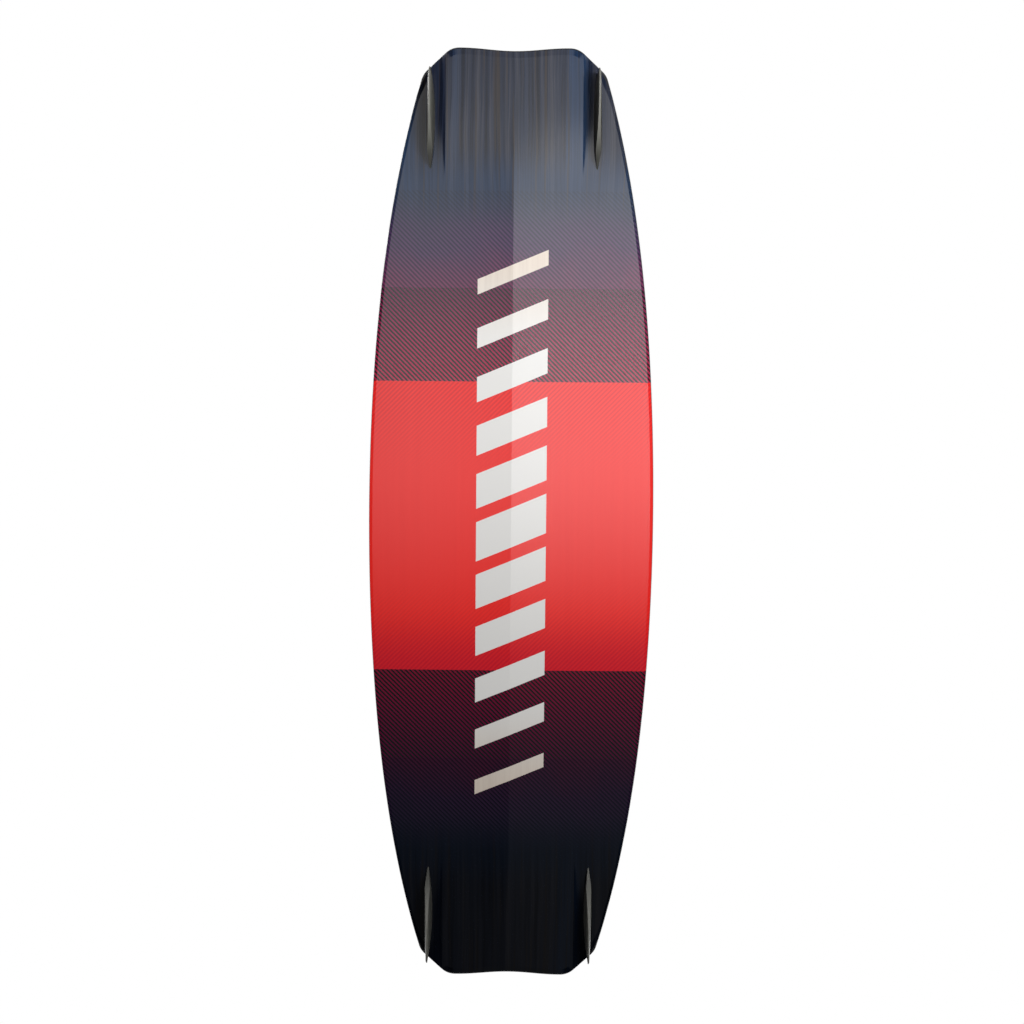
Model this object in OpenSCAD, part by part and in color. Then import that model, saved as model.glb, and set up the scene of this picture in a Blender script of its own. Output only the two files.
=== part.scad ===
// Twin-tip kiteboard, lying deck up on its four fins.
// +X runs along the board to the nose, +Y to the left rail, +Z up. Z 0 is the level of the fin tips.

/* [Board] */
// Overall length, tip to tip
board_l = 1380; // [1340:5:1420]
// Overall width, at the middle
board_w = 415; // [400:5:430]
// Lift of the tips over the middle of the base
rocker = 40; // [30:1:46]
// Thickness in the middle
mid_t = 11; // [10:0.5:12]
// Thickness at the tips
tip_t = 7; // [6:0.5:8]
// Thickness of each laminate, base and deck
skin_t = 0.8; // [0.6:0.1:1]
// Width of the plastic rail round the core
rail_w = 8; // [6:1:10]

/* [Tips] */
// How far the middle of each tip edge dips inward
tip_dip = 4.6; // [0:0.2:8]
// Distance from the centreline to each crest of the tip edge
tip_crest = 78; // [72:1:79]
// Distance from the centreline to the start of the cut corner
cut_y = 91.3; // [88:0.1:94]
// Length of the cut corner along the board
cut_l = 38.4; // [36:0.2:42]

/* [Fins] */
// Length of a fin's root
fin_l = 138; // [130:1:140]
// Height of a fin
fin_h = 45; // [44:1:52]
// Greatest thickness of a fin, at its root
fin_t = 12; // [11:0.5:14]
// Distance from the middle of the board to the middle of a fin
fin_x = 586; // [580:1:588]
// Distance from the centreline to a fin
fin_y = 120; // [117:1:121]
// Outward lean of a fin, in degrees
fin_cant = 1.4; // [0:0.2:4]
// Distance between a fin's two screws
fin_screw_gap = 70; // [60:2:76]

/* [Stance] */
// Distance from the middle of the board to the middle of a pad
stance_x = 255; // [240:5:270]
// Distance from a pad's middle to its two clamp screws
clamp_r = 82.5; // [78:0.5:86]
// Swing of a pad either way, in degrees
duck = 15; // [9:1:18]
// Distance between neighbouring deck inserts
insert_pitch = 25; // [20:1:30]
// Number of inserts in a row
insert_count = 5; // [3:2:5]

/* [Pads and straps] */
// Half the length of a pad, toe to heel
pad_hy = 142; // [136:1:146]
// Half the width of a pad
pad_hx = 76; // [75:1:80]
// Thickness of the foam over the plate in the middle
foam_t = 11; // [9:1:13]
// Radius of the footbed's dish
dish_r = 900; // [800:50:1200]
// Height of the strap pivot over the deck
pivot_z = 19; // [18.5:0.5:20]
// Half the clear width inside a strap
arch_a = 57; // [56:0.5:58]
// Clear height of a strap over its pivot
arch_b = 58; // [54:1:66]
// Half the width of a strap band at its crown
band_hy = 42; // [36:1:44]

/* [Handle] */
// Distance between the handle's two screws
handle_gap = 172; // [160:2:180]
// Height of the handle
handle_h = 38; // [34:1:42]
// Width of the handle
handle_w = 28; // [24:1:32]

/* [Hidden] */
$fn = 64;

half_l = board_l / 2;
half_w = board_w / 2;
rocker_fn = 2000;  // steps of the very large rocker circles
reach = 40;        // how far cutting shapes run past what they cut

// Rail curve: the half width falls by these amounts, as the square and the fourth power of x.
rail_bow = 62;
rail_pull = 25;
crest_r = 29;      // rounding where the tip edge turns into the cut corner
corner_r = 28;     // rounding where the cut corner meets the rail
mitre_in = 0.39;   // sideways shift of the cut corner's inner end, per millimetre of inset
mitre_out = 0.87;  // sideways shift of its outer end
mitre_back = 0.5;  // and that end's shift along the board
corner_past = 8;   // the rail's own points begin this far past the cut corner
wave_steps = 8;
arc_steps = 6;
rail_steps = 16;

// Base and deck are arcs of two large circles, so that the board thins towards its tips.
deck_rise = rocker - mid_t + tip_t;
base_r = (half_l * half_l + rocker * rocker) / (2 * rocker);
deck_r = (half_l * half_l + deck_rise * deck_rise) / (2 * deck_rise);

// Fin outline, with s along the board to the nearer tip and h down from the base.
fin_tip_r = 18;                          // rounding of the fin's outer corner
fin_lead = -fin_l / 2;
fin_trail = fin_l / 2;
fin_out = fin_trail + 3;                 // the outermost point, past the root's end
fin_flat_1 = fin_out - fin_tip_r;
fin_flat_0 = fin_flat_1 - 16;
fin_edge_t = 1.8;
fin_sink = 3;                            // how far the blank runs into the board before it is cut flush
fin_flare = 0.3;                         // the section is this much wider there, either side
fin_lead_steps = 14;
fin_tip_steps = 12;
fin_lead_r = (pow(fin_flat_0 - fin_lead, 2) + fin_h * fin_h) / (2 * fin_h);
fin_land = 0.4;                          // how much the floor cuts off a fin's lowest point, as a flat

// The middle of the base stands this high when the fins' flats are at Z 0.
base_slope = asin(fin_x / base_r);
fin_foot = fin_flat_0 * sin(base_slope) + rise(base_r, fin_x);
base_z = cos(fin_cant) * (fin_lead_r + (fin_h - fin_lead_r) * cos(base_slope)) - fin_foot - fin_land;

// Fastener sizes, as radii and heights
m6_thread_r = 2.5;
m6_shank_r = 3;
m6_head_r = 5.5;
m6_head_h = 3.5;
insert_r = 4.5;
insert_h = 8.2;
insert_flange_r = 6.5;
insert_flange_h = 0.6;
m5_thread_r = 2.1;
m5_shank_r = 2.5;
m5_head_r = 4.6;
m5_head_h = 3;
fin_insert_r = 3.3;
fin_insert_h = 11;
socket_r = 1.9;
hex_sides = 6;
head_crown = 0.6;  // a button head's top, and its socket's floor, as a share of the head
washer_r = 7;
washer_t = 1.2;
lean_gap = 0.45;   // the fin washers lean with the fins, and their rims clear the curved deck by this
m6_grip = 7;       // thread engaged in a deck insert
m5_grip = 8;       // thread engaged in a fin insert

// Handle, with runs along the board counted from a screw
handle_foot_t = 4; // plastic under the screw heads
heel_run = 20;     // outward to the foot's end
heel_z = 6;
knee_run = 8;      // inward to where the handle starts to rise
knee_z = 12;
knee_r = 14;
brow_run = 32;     // inward to where it levels out
brow_r = 18;
gap_run = 22;      // inward to the finger gap
gap_lean = 8;      // how much further in the gap's end is at its top
gap_r = 11;
grip_t = 13;
handle_round = 1;  // the plan's ends stop this far short of the heel

// Pad stack, with z up from the deck at the pad's middle
plate_z = 1.2;     // the plate's underside clears the curved deck at every angle
plate_t = 4;
plate_top = plate_z + plate_t;
free_gap = 0.3;    // clearance between parts that move past each other
clamp_washer_r = 10;
clamp_washer_t = 1.5;
slot_hw = m6_shank_r + 0.4;
pocket_hw = clamp_washer_r + 2;
pad_corner_r = 42;
ear_in = 60;
ear_out = 66;
ear_r = 10;
waist_r = 70;      // radius of the scallops that narrow the foam at the strap
waist_x = 56;

// Strap layers, as half widths at the pivot and heights over it
foam_a = 66.4;
foam_b = arch_b + 8;
band_t = 3;
band_a = foam_a + band_t;
band_b = foam_b + band_t;
flap_gap = 0.4;
flap_t = 3;
flap_from = 38;    // the flap's sewn end, as an angle up from the outer side
flap_to = 126;     // its free end
arch_n = 2.35;     // squareness of the arch
arch_steps = 40;
strap_end_r = 12;
foam_from = 13;    // the foam starts this far over the pivot, clear of the ears
foam_foot_hy = 18; // and is this wide there, either side
side_low = 38;     // heights over the pivot where the strap's side view turns
side_mid = 54;
side_top = 90;
side_low_in = 5;   // how much narrower the strap is at the low turn
side_top_in = 3;   // and at the top
flap_in = 9;       // how much narrower the flap is than the band, either side
shoulder_r = 4;
shoulder_fit = 0.05;
strap_head_r = 8;
strap_head_h = 3;

// Height that an upward arc of radius r gains at a distance x from its lowest point
function rise(r, x) = r - sqrt(r * r - x * x);
function deck_z(x) = base_z + mid_t + rise(deck_r, x);
function board_t(x) = deck_z(x) - base_z - rise(base_r, x);
function half_width(x) = half_w - rail_bow * pow(x / half_l, 2) - rail_pull * pow(x / half_l, 4);
function unit(v) = v / norm(v);

// Points of an arc about c, from angle a0 to a1
function arc(c, r, a0, a1, n = arc_steps) =
    [for (i = [0 : n]) let (a = a0 + (a1 - a0) * i / n) c + r * [cos(a), sin(a)]];

// The corner a, b, c rounded at b with radius r
function rounded(a, b, c, r) =
    let (u = unit(a - b), v = unit(c - b), half = acos(u * v) / 2)
    let (m = b + unit(u + v) * r / sin(half), p = b + u * r / tan(half), q = b + v * r / tan(half))
    let (a0 = atan2(p[1] - m[1], p[0] - m[0]), a1 = atan2(q[1] - m[1], q[0] - m[0]))
    arc(m, r, a0, a1 + (a1 - a0 > 180 ? -360 : a1 - a0 < -180 ? 360 : 0));

// One quarter of the outline, inset by d, from the middle of the tip edge to the middle of the rail
function quarter(d) =
    let (rail_x = half_l - cut_l)
    let (a = [half_l - d, 0], b = [half_l - d, cut_y - mitre_in * d])
    let (c = [rail_x - mitre_back * d, half_width(rail_x) - mitre_out * d])
    let (e = [rail_x - 3 * corner_r, half_width(rail_x - 3 * corner_r) - d])
    let (crest = tip_crest - mitre_in * d, r_in = max(crest_r - d, 4), r_out = corner_r - d)
    let (last = rail_x - corner_past)
    concat(
        [for (i = [0 : wave_steps - 1]) let (y = crest * i / wave_steps)
            [half_l - d - tip_dip * (1 + cos(180 * y / crest)) / 2, y]],
        rounded(a, b, c, r_in),
        rounded(b, c, e, r_out),
        [for (i = [1 : rail_steps]) let (x = last * (1 - i / rail_steps)) [x, half_width(x) - d]]
    );

function reversed(list) = [for (i = [len(list) - 1 : -1 : 0]) list[i]];

// The whole outline, going round from the nose
function outline(d) =
    let (q = quarter(d), n = len(q))
    concat(
        q,
        [for (i = [n - 2 : -1 : 0]) [-q[i][0], q[i][1]]],
        [for (i = [1 : n - 1]) [-q[i][0], -q[i][1]]],
        [for (i = [n - 2 : -1 : 1]) [q[i][0], -q[i][1]]]
    );

// Points along one strap layer, from angle t0 to t1 over the arch
function arch(a, b, t0, t1, n = arch_steps) =
    [for (i = [0 : n]) let (t = t0 + (t1 - t0) * i / n)
        [a * sign(cos(t)) * pow(abs(cos(t)), 2 / arch_n), b * pow(abs(sin(t)), 2 / arch_n)]];

// The inside of a rocker circle whose lowest line is at height low
module above_arc(r, low) {
    translate([0, 0, low + r])
        rotate([90, 0, 0])
            cylinder(h = board_w + reach, r = r, center = true, $fn = rocker_fn);
}

// The layer of the board between the arc at height low and the arc at height high
module layer(low_r, low, high_r, high, d) {
    difference() {
        intersection() {
            linear_extrude(2 * reach + rocker) polygon(outline(d));
            above_arc(low_r, low);
        }
        above_arc(high_r, high);
    }
}

module at_base(x, y) {
    translate([x, y, base_z + rise(base_r, x)]) rotate([0, -asin(x / base_r), 0]) children();
}

module at_deck(x, y) {
    translate([x, y, deck_z(x)]) rotate([0, -asin(x / deck_r), 0]) children();
}

// A place at the root of the fin on one end and side, with z down out of the base
module at_fin(end, side) {
    at_base(end * fin_x, side * fin_y)
        rotate([side * fin_cant, 0, 0])
            mirror([0, 0, 1])
                mirror([end < 0 ? 1 : 0, 0, 0])
                    children();
}

// $seat is how far over the base a washer sits there, because the board thins towards its tips
module each_fin_screw() {
    for (end = [-1, 1], side = [-1, 1], s = [-1, 1]) {
        $seat = board_t(fin_x + s * fin_screw_gap / 2) + lean_gap;
        at_fin(end, side) translate([s * fin_screw_gap / 2, 0, 0]) children();
    }
}

module each_deck_insert() {
    first = -(insert_count - 1) / 2;
    for (end = [-1, 1], side = [-1, 1], i = [0 : insert_count - 1])
        at_deck(end * (stance_x + (first + i) * insert_pitch), side * clamp_r) children();
}

module each_clamp_screw() {
    for (end = [-1, 1], side = [-1, 1])
        at_deck(end * stance_x, 0) translate([0, side * clamp_r, 0]) children();
}

module each_handle_screw() {
    for (s = [-1, 1]) at_deck(s * handle_gap / 2, 0) children();
}

// Holes through the board for the fin screws, and sockets for the inserts
module board_holes() {
    each_fin_screw() cylinder(h = 2 * reach, r = m5_shank_r, center = true);
    each_deck_insert() insert_socket();
    each_handle_screw() insert_socket();
}

module insert_socket() {
    translate([0, 0, -insert_h]) cylinder(h = insert_h + reach, r = insert_r);
    translate([0, 0, -insert_flange_h]) cylinder(h = reach, r = insert_flange_r);
}

module insert() {
    difference() {
        union() {
            translate([0, 0, -insert_h]) cylinder(h = insert_h, r = insert_r);
            translate([0, 0, -insert_flange_h]) cylinder(h = insert_flange_h, r = insert_flange_r);
        }
        translate([0, 0, 1 - insert_h]) cylinder(h = insert_h, r = m6_thread_r);
    }
}

// A button-head screw: head on z 0, shank down to -shank, thread below that to -depth
module button_screw(head_r, head_h, shank_r, shank, thread_r, depth) {
    difference() {
        union() {
            cylinder(h = head_h / 2, r = head_r);
            translate([0, 0, head_h / 2]) cylinder(h = head_h / 2, r1 = head_r, r2 = head_r * head_crown);
            translate([0, 0, -shank]) cylinder(h = shank + head_h / 2, r = shank_r);
            translate([0, 0, -depth]) cylinder(h = depth, r = thread_r);
        }
        translate([0, 0, head_h * head_crown]) cylinder(h = head_h, r = socket_r, $fn = hex_sides);
    }
}

module washer(r, hole_r, t) {
    difference() {
        cylinder(h = t, r = r);
        translate([0, 0, -t]) cylinder(h = 3 * t, r = hole_r);
    }
}

module core() {
    color("burlywood")
        difference() {
            layer(base_r - skin_t, base_z + skin_t, deck_r + skin_t, base_z + mid_t - skin_t, rail_w);
            board_holes();
        }
}

module rail(side) {
    color([0.12, 0.12, 0.13])
        difference() {
            layer(base_r - skin_t, base_z + skin_t, deck_r + skin_t, base_z + mid_t - skin_t, 0);
            linear_extrude(2 * reach + rocker + 1) polygon(outline(rail_w));
            translate([-board_l, side > 0 ? -board_w : 0, -reach]) cube([2 * board_l, board_w, 4 * reach]);
        }
}

module base_laminate() {
    color([0.86, 0.24, 0.22])
        difference() {
            layer(base_r, base_z, base_r - skin_t, base_z + skin_t, 0);
            board_holes();
        }
}

module deck_laminate() {
    color([0.16, 0.18, 0.24])
        difference() {
            layer(deck_r + skin_t, base_z + mid_t - skin_t, deck_r, base_z + mid_t, 0);
            board_holes();
        }
}

// The half-moon outline of a fin, extruded to its full thickness
module fin_blank() {
    lead_a = asin((fin_flat_0 - fin_lead) / fin_lead_r);
    points = concat(
        [[fin_trail, -fin_sink], [fin_lead, -fin_sink]],
        arc([fin_flat_0, fin_h - fin_lead_r], fin_lead_r, 90 + lead_a, 90, fin_lead_steps),
        arc([fin_flat_1, fin_h - fin_tip_r], fin_tip_r, 90, 0, fin_tip_steps),
        [[fin_trail, 0]]
    );
    rotate([90, 0, 0]) linear_extrude(2 * fin_t, center = true) polygon(points);
}

// A lens in plan, from two arcs, so that both edges of the fin are thin
module fin_lens() {
    lens_half = fin_out + 1;
    lens_r = (lens_half * lens_half + fin_t * fin_t / 4) / fin_t;
    translate([0, 0, -reach])
        intersection_for (side = [-1, 1])
            translate([0, side * (lens_r - fin_t / 2), 0])
                cylinder(h = 3 * reach, r = lens_r, $fn = rocker_fn);
}

// The fin's section, thinning towards its tip
module fin_taper() {
    rotate([90, 0, 90])
        linear_extrude(4 * fin_l, center = true)
            polygon([
                [-fin_t / 2 - fin_flare, -fin_sink], [fin_t / 2 + fin_flare, -fin_sink],
                [fin_edge_t / 2, fin_h + 1], [-fin_edge_t / 2, fin_h + 1],
            ]);
}

module fin(end, side) {
    color([0.33, 0.34, 0.32, 0.85])
        difference() {
            at_fin(end, side)
                difference() {
                    intersection() {
                        fin_blank();
                        fin_lens();
                        fin_taper();
                    }
                    for (s = [-1, 1])
                        translate([s * fin_screw_gap / 2, 0, -reach])
                            cylinder(h = reach + fin_insert_h, r = fin_insert_r);
                }
            above_arc(base_r, base_z);
            translate([-board_l, -board_w, -reach]) cube([2 * board_l, 2 * board_w, reach]);
        }
}

module fin_inserts() {
    color("goldenrod")
        each_fin_screw()
            translate([0, 0, 0.5])
                difference() {
                    cylinder(h = fin_insert_h - 0.5, r = fin_insert_r);
                    translate([0, 0, -1]) cylinder(h = fin_insert_h - 1, r = m5_thread_r);
                }
}

module fin_screws() {
    color("silver")
        each_fin_screw()
            mirror([0, 0, 1])
                translate([0, 0, $seat + washer_t])
                    button_screw(m5_head_r, m5_head_h, m5_shank_r, $seat + washer_t,
                        m5_thread_r, $seat + washer_t + m5_grip);
}

module fin_washers() {
    color("gainsboro")
        each_fin_screw() mirror([0, 0, 1]) translate([0, 0, $seat]) washer(washer_r, m5_shank_r, washer_t);
}

module deck_inserts() {
    color("goldenrod") each_deck_insert() insert();
}

module handle_inserts() {
    color("goldenrod") each_handle_screw() insert();
}

// The handle's side view: feet, rising ends and a straight grip over the finger gap
module handle_side() {
    foot = handle_gap / 2;
    heel = foot + heel_run;
    knee = foot - knee_run;
    brow = foot - brow_run;
    gap_x = foot - gap_run;
    gap_top = handle_h - grip_t;
    half = concat(
        rounded([0, handle_h], [brow, handle_h], [knee, knee_z], brow_r),
        rounded([brow, handle_h], [knee, knee_z], [heel, heel_z], knee_r),
        [[heel, heel_z], [heel, rise(deck_r, heel)], [gap_x, rise(deck_r, gap_x)]],
        rounded([gap_x, 0], [gap_x - gap_lean, gap_top], [0, gap_top], gap_r)
    );
    rotate([90, 0, 0])
        linear_extrude(2 * handle_w, center = true)
            polygon(concat(half, [for (p = reversed(half)) [-p[0], p[1]]]));
}

module handle() {
    end_x = handle_gap / 2 + heel_run - handle_round;
    color([0.1, 0.1, 0.11])
        difference() {
            intersection() {
                translate([0, 0, base_z + mid_t]) handle_side();
                linear_extrude(4 * handle_h) polygon(pad_outline(end_x, handle_w / 2, handle_w / 2 - 0.5));
            }
            each_handle_screw() {
                translate([0, 0, -reach]) cylinder(h = 2 * reach, r = m6_shank_r);
                translate([0, 0, handle_foot_t]) cylinder(h = reach, r = washer_r + 0.5);
            }
        }
}

module handle_screws() {
    color("silver")
        each_handle_screw()
            translate([0, 0, handle_foot_t + washer_t])
                button_screw(m6_head_r, m6_head_h, m6_shank_r, handle_foot_t + washer_t,
                    m6_thread_r, handle_foot_t + washer_t + m6_grip);
}

module handle_washers() {
    color("gainsboro")
        each_handle_screw() translate([0, 0, handle_foot_t]) washer(washer_r, m6_shank_r, washer_t);
}

module pad_screws() {
    seat = plate_top + free_gap + clamp_washer_t;
    color("silver")
        each_clamp_screw()
            translate([0, 0, seat])
                button_screw(m6_head_r, m6_head_h, m6_shank_r, seat, m6_thread_r, seat + m6_grip);
}

module pad_washers() {
    color("gainsboro")
        each_clamp_screw()
            translate([0, 0, plate_top + free_gap]) washer(clamp_washer_r, m6_shank_r, clamp_washer_t);
}

// A slot that follows the pad's swing, on both sides of its middle
module swing_slots(hw, z0, z1) {
    swing = duck + 0.5;
    for (side = [0, 180])
        rotate([0, 0, side]) {
            rotate([0, 0, 90 - swing])
                rotate_extrude(angle = 2 * swing) translate([clamp_r - hw, z0]) square([2 * hw, z1 - z0]);
            for (a = [-swing, swing])
                rotate([0, 0, a]) translate([0, clamp_r, z0]) cylinder(h = z1 - z0, r = hw);
        }
}

function pad_outline(hx, hy, r) = concat(
    arc([hx - r, hy - r], r, 0, 90), arc([r - hx, hy - r], r, 90, 180),
    arc([r - hx, r - hy], r, 180, 270), arc([hx - r, r - hy], r, 270, 360)
);

// Places a pad's parts on one end of the board, with local +X towards the nearer tip
module at_stance(end) {
    at_deck(end * stance_x, 0) mirror([end < 0 ? 1 : 0, 0, 0]) children();
}

module along_pivot(x0, x1, r) {
    translate([x0, 0, pivot_z]) rotate([0, 90, 0]) cylinder(h = x1 - x0, r = r);
}

module pad_plate(end) {
    color([0.13, 0.13, 0.14])
        at_stance(end)
            difference() {
                union() {
                    translate([0, 0, plate_z])
                        linear_extrude(plate_t) polygon(pad_outline(pad_hx, pad_hy, pad_corner_r));
                    for (s = [0, 1])
                        mirror([s, 0, 0]) {
                            along_pivot(ear_in, ear_out, ear_r);
                            translate([ear_in, -ear_r, plate_z])
                                cube([ear_out - ear_in, 2 * ear_r, pivot_z - plate_z]);
                        }
                }
                swing_slots(slot_hw, plate_z - 1, plate_top + 1);
                for (s = [0, 1]) mirror([s, 0, 0]) along_pivot(ear_in - 1, ear_out + 1, insert_r);
            }
}

module footpad(end) {
    foam_h = foam_t + rise(dish_r, pad_hy);
    color([0.2, 0.2, 0.22])
        at_stance(end)
            difference() {
                translate([0, 0, plate_top])
                    linear_extrude(foam_h) polygon(pad_outline(pad_hx, pad_hy, pad_corner_r));
                translate([0, 0, plate_top + foam_t + dish_r])
                    rotate([0, 90, 0]) cylinder(h = 4 * pad_hx, r = dish_r, center = true, $fn = rocker_fn);
                for (s = [-1, 1])
                    translate([s * (waist_x + waist_r), 0, 0]) cylinder(h = 2 * reach, r = waist_r);
                swing_slots(pocket_hw, plate_top - 1, plate_top + 2 * reach);
            }
}

module strap_nuts(end) {
    color("goldenrod")
        at_stance(end)
            for (s = [0, 1])
                mirror([s, 0, 0])
                    difference() {
                        along_pivot(ear_in, ear_out, insert_r);
                        along_pivot(ear_in - 1, ear_out + 1, m6_thread_r);
                    }
}

module strap_screws(end) {
    head_x = band_a + free_gap;
    color("silver")
        at_stance(end)
            for (s = [0, 1])
                mirror([s, 0, 0])
                    difference() {
                        union() {
                            along_pivot(ear_in + 0.5, ear_out, m6_thread_r);
                            along_pivot(ear_out, head_x, shoulder_r);
                            along_pivot(head_x, head_x + strap_head_h, strap_head_r);
                        }
                        translate([head_x + 1, 0, pivot_z])
                            rotate([0, 90, 0]) cylinder(h = strap_head_h, r = 2 * socket_r, $fn = hex_sides);
                    }
}

// The side view of the strap from a height over the pivot up, as wide as foot_hy at its lowest
module strap_side(from_z, foot_hy) {
    low_hy = band_hy - side_low_in;
    top_hy = band_hy - side_top_in;
    translate([0, 0, pivot_z])
        rotate([90, 0, 90])
            linear_extrude(4 * pad_hx, center = true)
                polygon([
                    [-foot_hy, from_z], [foot_hy, from_z],
                    [low_hy, side_low], [band_hy, side_mid], [top_hy, side_top],
                    [-top_hy, side_top], [-band_hy, side_mid], [-low_hy, side_low],
                ]);
}

// One layer of the arch, between an inner and an outer curve, with straight legs down to foot
module arch_layer(a0, b0, a1, b1, foot) {
    points = concat(
        [[a1, foot]], arch(a1, b1, 0, 180), [[-a1, foot]],
        [[-a0, foot]], arch(a0, b0, 180, 0), [[a0, foot]]
    );
    translate([0, 0, pivot_z])
        rotate([90, 0, 0]) linear_extrude(4 * band_hy, center = true) polygon(points);
}

module strap_foam(end) {
    color([0.24, 0.24, 0.26])
        at_stance(end)
            intersection() {
                arch_layer(arch_a, arch_b, foam_a, foam_b, 0);
                strap_side(foam_from, foam_foot_hy);
            }
}

module strap_band(end) {
    color([0.1, 0.1, 0.11])
        at_stance(end)
            difference() {
                intersection() {
                    arch_layer(foam_a, foam_b, band_a, band_b, -strap_end_r);
                    union() {
                        strap_side(0, strap_end_r);
                        along_pivot(-2 * pad_hx, 2 * pad_hx, strap_end_r);
                    }
                }
                along_pivot(-2 * pad_hx, 2 * pad_hx, shoulder_r + shoulder_fit);
            }
}

module strap_flap(end) {
    a0 = band_a + flap_gap;
    b0 = band_b + flap_gap;
    points = concat(
        arch(a0 + flap_t, b0 + flap_t, flap_from, flap_to),
        arch(a0, b0, flap_to, flap_from)
    );
    color([0.75, 0.16, 0.18])
        at_stance(end)
            translate([0, 0, pivot_z])
                rotate([90, 0, 0]) linear_extrude(2 * (band_hy - flap_in), center = true) polygon(points);
}

core();
rail(1);  // rail_left
rail(-1);  // rail_right
base_laminate();
deck_laminate();
fin(1, 1);  // fin_nose_left
fin(1, -1);  // fin_nose_right
fin(-1, 1);  // fin_tail_left
fin(-1, -1);  // fin_tail_right
fin_inserts();
fin_screws();
fin_washers();
deck_inserts();
handle_inserts();
handle();
handle_screws();
handle_washers();
pad_screws();
pad_washers();
pad_plate(1);  // pad_plate_nose
footpad(1);  // footpad_nose
strap_nuts(1);  // strap_nuts_nose
strap_screws(1);  // strap_screws_nose
strap_foam(1);  // strap_foam_nose
strap_band(1);  // strap_band_nose
strap_flap(1);  // strap_flap_nose
pad_plate(-1);  // pad_plate_tail
footpad(-1);  // footpad_tail
strap_nuts(-1);  // strap_nuts_tail
strap_screws(-1);  // strap_screws_tail
strap_foam(-1);  // strap_foam_tail
strap_band(-1);  // strap_band_tail
strap_flap(-1);  // strap_flap_tail
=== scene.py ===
import math

import bpy
import bmesh
from mathutils import Matrix, Vector
from mathutils.geometry import delaunay_2d_cdt


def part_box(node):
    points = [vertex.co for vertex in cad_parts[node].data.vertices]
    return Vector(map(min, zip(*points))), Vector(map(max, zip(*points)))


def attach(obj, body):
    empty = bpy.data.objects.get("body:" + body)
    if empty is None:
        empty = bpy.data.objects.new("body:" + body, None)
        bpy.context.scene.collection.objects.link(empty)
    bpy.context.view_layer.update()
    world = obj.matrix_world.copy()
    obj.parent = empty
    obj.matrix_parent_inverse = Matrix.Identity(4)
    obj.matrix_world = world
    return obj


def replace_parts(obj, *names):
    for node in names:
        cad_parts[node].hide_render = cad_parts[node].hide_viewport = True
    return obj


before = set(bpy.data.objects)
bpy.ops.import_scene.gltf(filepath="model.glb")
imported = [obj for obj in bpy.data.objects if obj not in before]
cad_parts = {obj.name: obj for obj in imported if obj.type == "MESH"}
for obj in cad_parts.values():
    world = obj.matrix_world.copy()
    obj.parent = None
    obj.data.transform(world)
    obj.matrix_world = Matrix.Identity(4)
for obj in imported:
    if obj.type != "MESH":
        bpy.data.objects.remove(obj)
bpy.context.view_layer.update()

# A twin-tip kiteboard. Metres, +X to the nose, +Y to the left rail, +Z up out of the deck.
MM = 0.001
ENDS = {"nose": 1, "tail": -1}

# ---------------------------------------------------------------- the board's own surfaces
BASE_LOW, BASE_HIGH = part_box("base_laminate")
HALF_L, HALF_W = BASE_HIGH.x, BASE_HIGH.y
BASE_Z = BASE_LOW.z
ROCKER, MID_T, TIP_T, SKIN = 40 * MM, 11 * MM, 7 * MM, 0.8 * MM
RAIL_W = 8 * MM
DECK_RISE = ROCKER - MID_T + TIP_T
BASE_R = (HALF_L**2 + ROCKER**2) / (2 * ROCKER)
DECK_R = (HALF_L**2 + DECK_RISE**2) / (2 * DECK_RISE)

RAIL_BOW, RAIL_PULL = 62 * MM, 25 * MM
TIP_DIP, TIP_CREST = 4.6 * MM, 78 * MM
CUT_Y, CUT_L = 91.3 * MM, 38.4 * MM
CREST_R, CORNER_R = 29 * MM, 28 * MM
MITRE_IN, MITRE_OUT, MITRE_BACK = 0.39, 0.87, 0.5

EDGE_IN = 0.9 * MM          # how far the laminates' edges lie inside the rail's bulge
TIP_BAND = 10 * MM          # width of the bevel along the tip edges
RAIL_BAND = 5 * MM          # and along the rails
BASE_BEVEL = 1.25 * MM
RAIL_BEVEL = 0.22 * MM
DECK_BAND = 13 * MM
DECK_BEVEL = 0.7 * MM
KEEL = 3.2 * MM             # height of the base's V along its centreline
PANEL_Y = 99 * MM           # half the width of the raised panel at each tip
PANEL_SIDE = 2.1 * MM       # how far the panel stands proud along its sides
PANEL_X = (490 * MM, 610 * MM)   # the panel's sides rise out of the base between these
PANEL_WALL = 0.5 * MM       # width of the panel's steep side
VALLEY = 1.85 * MM          # height of the hollow that runs from that side out to the rail
VALLEY_END = (652 * MM, 684 * MM)   # it runs out between these, short of the tip's edge
EDGE_DIP = 0.1 * MM         # how far the deck laminate's underside and the rail under it dip at the edge
BLEND_X = 40 * MM           # along the rail, where its narrow bevel grows into the tip's

STANCE_X = 255 * MM
CLAMP_R = 82.5 * MM         # of the clamp screws round the pad's middle
INSERT_GAP, INSERT_HOLE = 25 * MM, 6.55 * MM
PIVOT_Z = 19 * MM
PLATE_TOP = 5.2 * MM
ARCH_N = 2.35


def rise(r, x):
    """Height that an upward arc of radius r gains at a distance x from its lowest point."""
    return r - math.sqrt(r * r - x * x)


def base_z(x):
    return BASE_Z + rise(BASE_R, x)


def deck_z(x):
    return BASE_Z + MID_T + rise(DECK_R, x)


def half_width(x):
    return HALF_W - RAIL_BOW * (x / HALF_L) ** 2 - RAIL_PULL * (x / HALF_L) ** 4


def smooth(lo, hi, x):
    t = min(1.0, max(0.0, (x - lo) / (hi - lo)))
    return t * t * (3 - 2 * t)


def arc(centre, r, a0, a1, n):
    angles = [a0 + (a1 - a0) * i / n for i in range(n + 1)]
    return [centre + r * Vector((math.cos(a), math.sin(a))) for a in angles]


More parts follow.
